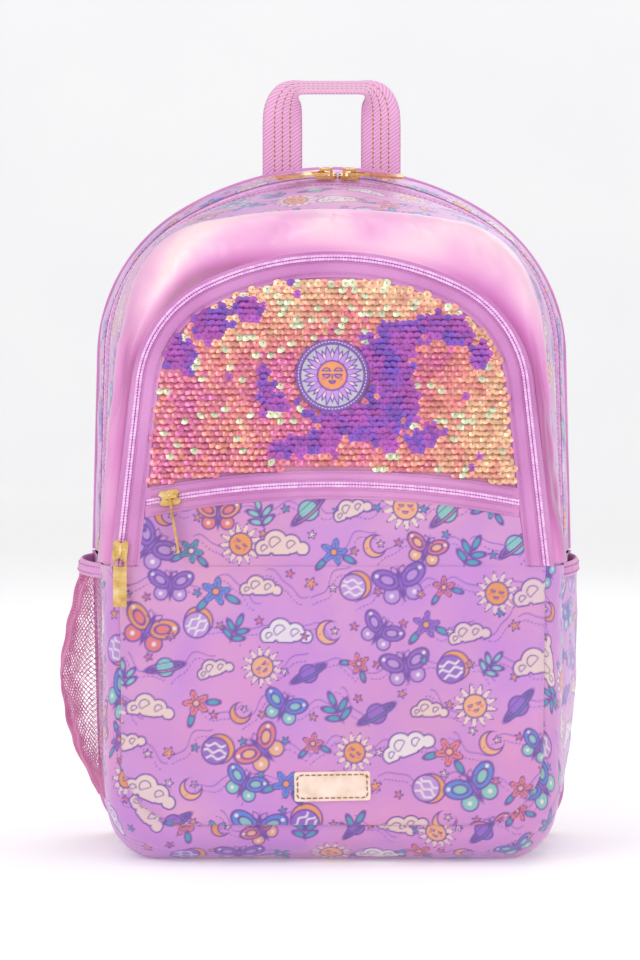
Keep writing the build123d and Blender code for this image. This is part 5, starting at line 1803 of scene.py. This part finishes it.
def strap_webbing(name, x, y, z, depth=1.3):
    """A strap's webbing, 20 mm wide, facing straight back."""
    path = np.stack([x + 0 * z, y + 0 * z, z], 1)
    return ribbon(name, path, np.tile((0, 1.0, 0), (len(z), 1)), 20, depth, STRAP_WEB)


for side, label in ((-1, "left"), (1, "right")):
    strap(f"strap_pad_{label}", side)
    x = side * 82.0
    z = np.linspace(130, 118.6, 12)
    tab = strap_webbing(f"lock_tab_cloth_{label}", x, 79.8, z)
    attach(tab, f"strap_{label}")
    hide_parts(f"lock_tab_{label}")
    z = np.linspace(100, 36.6, 60)
    drop = np.linspace(0, 1, 60)
    tail = strap_webbing(f"webbing_tail_cloth_{label}", x, 79.3 + 0.4 * np.sin(drop * 5), z)
    fold = strap_webbing(f"webbing_tail_fold_{label}", x, 80.1, np.array([37.5, 41.0]), 1.2)
    tail = join(f"webbing_tail_cloth_{label}", [tail, fold])
    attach(tail, f"lock_{label}")
    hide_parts(f"webbing_tail_{label}")
    k = np.linspace(0, 1, 60)
    low = strap_webbing(f"lower_webbing_cloth_{label}", x, 70.1 + 2.3 * k, 38 + 62 * k)
    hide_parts(f"lower_webbing_{label}")
    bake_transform(low)
    shape = np.array([(x - 16, 20), (x + 16, 20), (x + 11, 52), (x - 11, 52)])
    dense = []
    for p, q in zip(shape, np.roll(shape, -1, 0)):
        dense += [p + (q - p) * t for t in np.linspace(0, 1, 10, endpoint=False)]
    name = f"strap_anchor_cloth_{label}"
    anchor = sewn_patch(name, np.array(dense), 66.4, 68.9, BACK_CLOTH, 0.8, 0.5, 2.6, THREAD, 3.2)
    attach(anchor, "bag")
    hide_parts(f"strap_anchor_{label}")


# ---- Pieces of the frame whose shape is right keep it, with their own finish ----
def refinish(node, material):
    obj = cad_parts[node]
    if not obj.material_slots:
        obj.data.materials.append(material)
    for place in obj.material_slots:
        place.material = material


for node in (
    "main_slider_left", "main_slider_right", "main_pull_left", "main_pull_right",
    "flap_slider", "flap_pull", "pocket_slider", "pocket_pull",
):
    refinish(node, GOLD)
for node in ("ladder_lock_left", "ladder_lock_right"):
    refinish(node, LOCK)
refinish("base_board", plastic("base_board_finish", lin(120, 110, 124), lin(140, 128, 142)))


# ---- Floor, light and camera ----
def backdrop():
    """A pale round floor whose edge sweeps up all round the bag."""
    profile = [(0.0, 0.0), (1.5, 0.0), (3.0, 0.0), (4.6, 0.0)]
    for k in range(1, 13):
        t = k / 12 * math.pi / 2
        profile.append((4.6 + 1.6 * math.sin(t), 1.6 * (1 - math.cos(t))))
    profile.append((6.25, 2.3))
    turns, verts, faces = 72, [], []
    for r, z in profile:
        for j in range(turns):
            a = 2 * math.pi * j / turns
            verts.append((1000 * r * math.cos(a), 1000 * r * math.sin(a), 1000 * z - 0.6))
    for i in range(len(profile) - 1):
        for j in range(turns):
            k = (j + 1) % turns
            faces.append((i * turns + j, (i + 1) * turns + j, (i + 1) * turns + k, i * turns + k))
    f = Finish("studio_paper", rough=0.9)
    f.colour(f.ramp(f.noise(f.place(), 3, 2.0), (0.3, (0.9, 0.9, 0.91)), (0.7, (0.94, 0.94, 0.94))))
    f.shader.inputs["Emission Color"].default_value = (1.0, 1.0, 1.0, 1)
    f.shader.inputs["Emission Strength"].default_value = 0.2
    piece("studio_floor", verts, faces, f.mat)


def lamp(name, place, size, power, colour=(1, 1, 1), aim=(0, 0, 0.23)):
    data = bpy.data.lights.new(name, "AREA")
    data.shape = "RECTANGLE"
    data.size, data.size_y = size
    data.energy, data.color = power, colour
    obj = bpy.data.objects.new(name, data)
    obj.location = place
    obj.rotation_euler = (Vector(aim) - Vector(place)).to_track_quat("-Z", "Y").to_euler()
    bpy.context.scene.collection.objects.link(obj)


backdrop()
lamp("key_light", (-1.3, -1.9, 1.7), (1.4, 1.4), 15)
lamp("fill_light", (1.7, -1.6, 0.9), (1.2, 1.6), 8)
lamp("top_light", (0.0, -0.2, 2.2), (1.6, 1.2), 7)
lamp("back_light", (0.6, 1.7, 1.4), (1.6, 1.2), 6)

world = bpy.data.worlds.new("studio")
world.use_nodes = True
world.node_tree.nodes["Background"].inputs["Color"].default_value = (1.0, 0.985, 1.0, 1)
world.node_tree.nodes["Background"].inputs["Strength"].default_value = 0.66
bpy.context.scene.world = world
bpy.context.scene.view_settings.view_transform = "Standard"

camera_data = bpy.data.cameras.new("camera")
camera = bpy.data.objects.new("camera", camera_data)
bpy.context.scene.collection.objects.link(camera)
camera.location = (-0.0073, -2.45, 0.3315)
aim = Vector((-0.0073, 0.0, 0.2245)) - camera.location
camera.rotation_euler = aim.to_track_quat("-Z", "Y").to_euler()
camera_data.sensor_fit = "VERTICAL"
camera_data.sensor_height = 24.0
camera_data.lens = 24.0 * 2.45 / 0.5904
bpy.context.scene.camera = camera
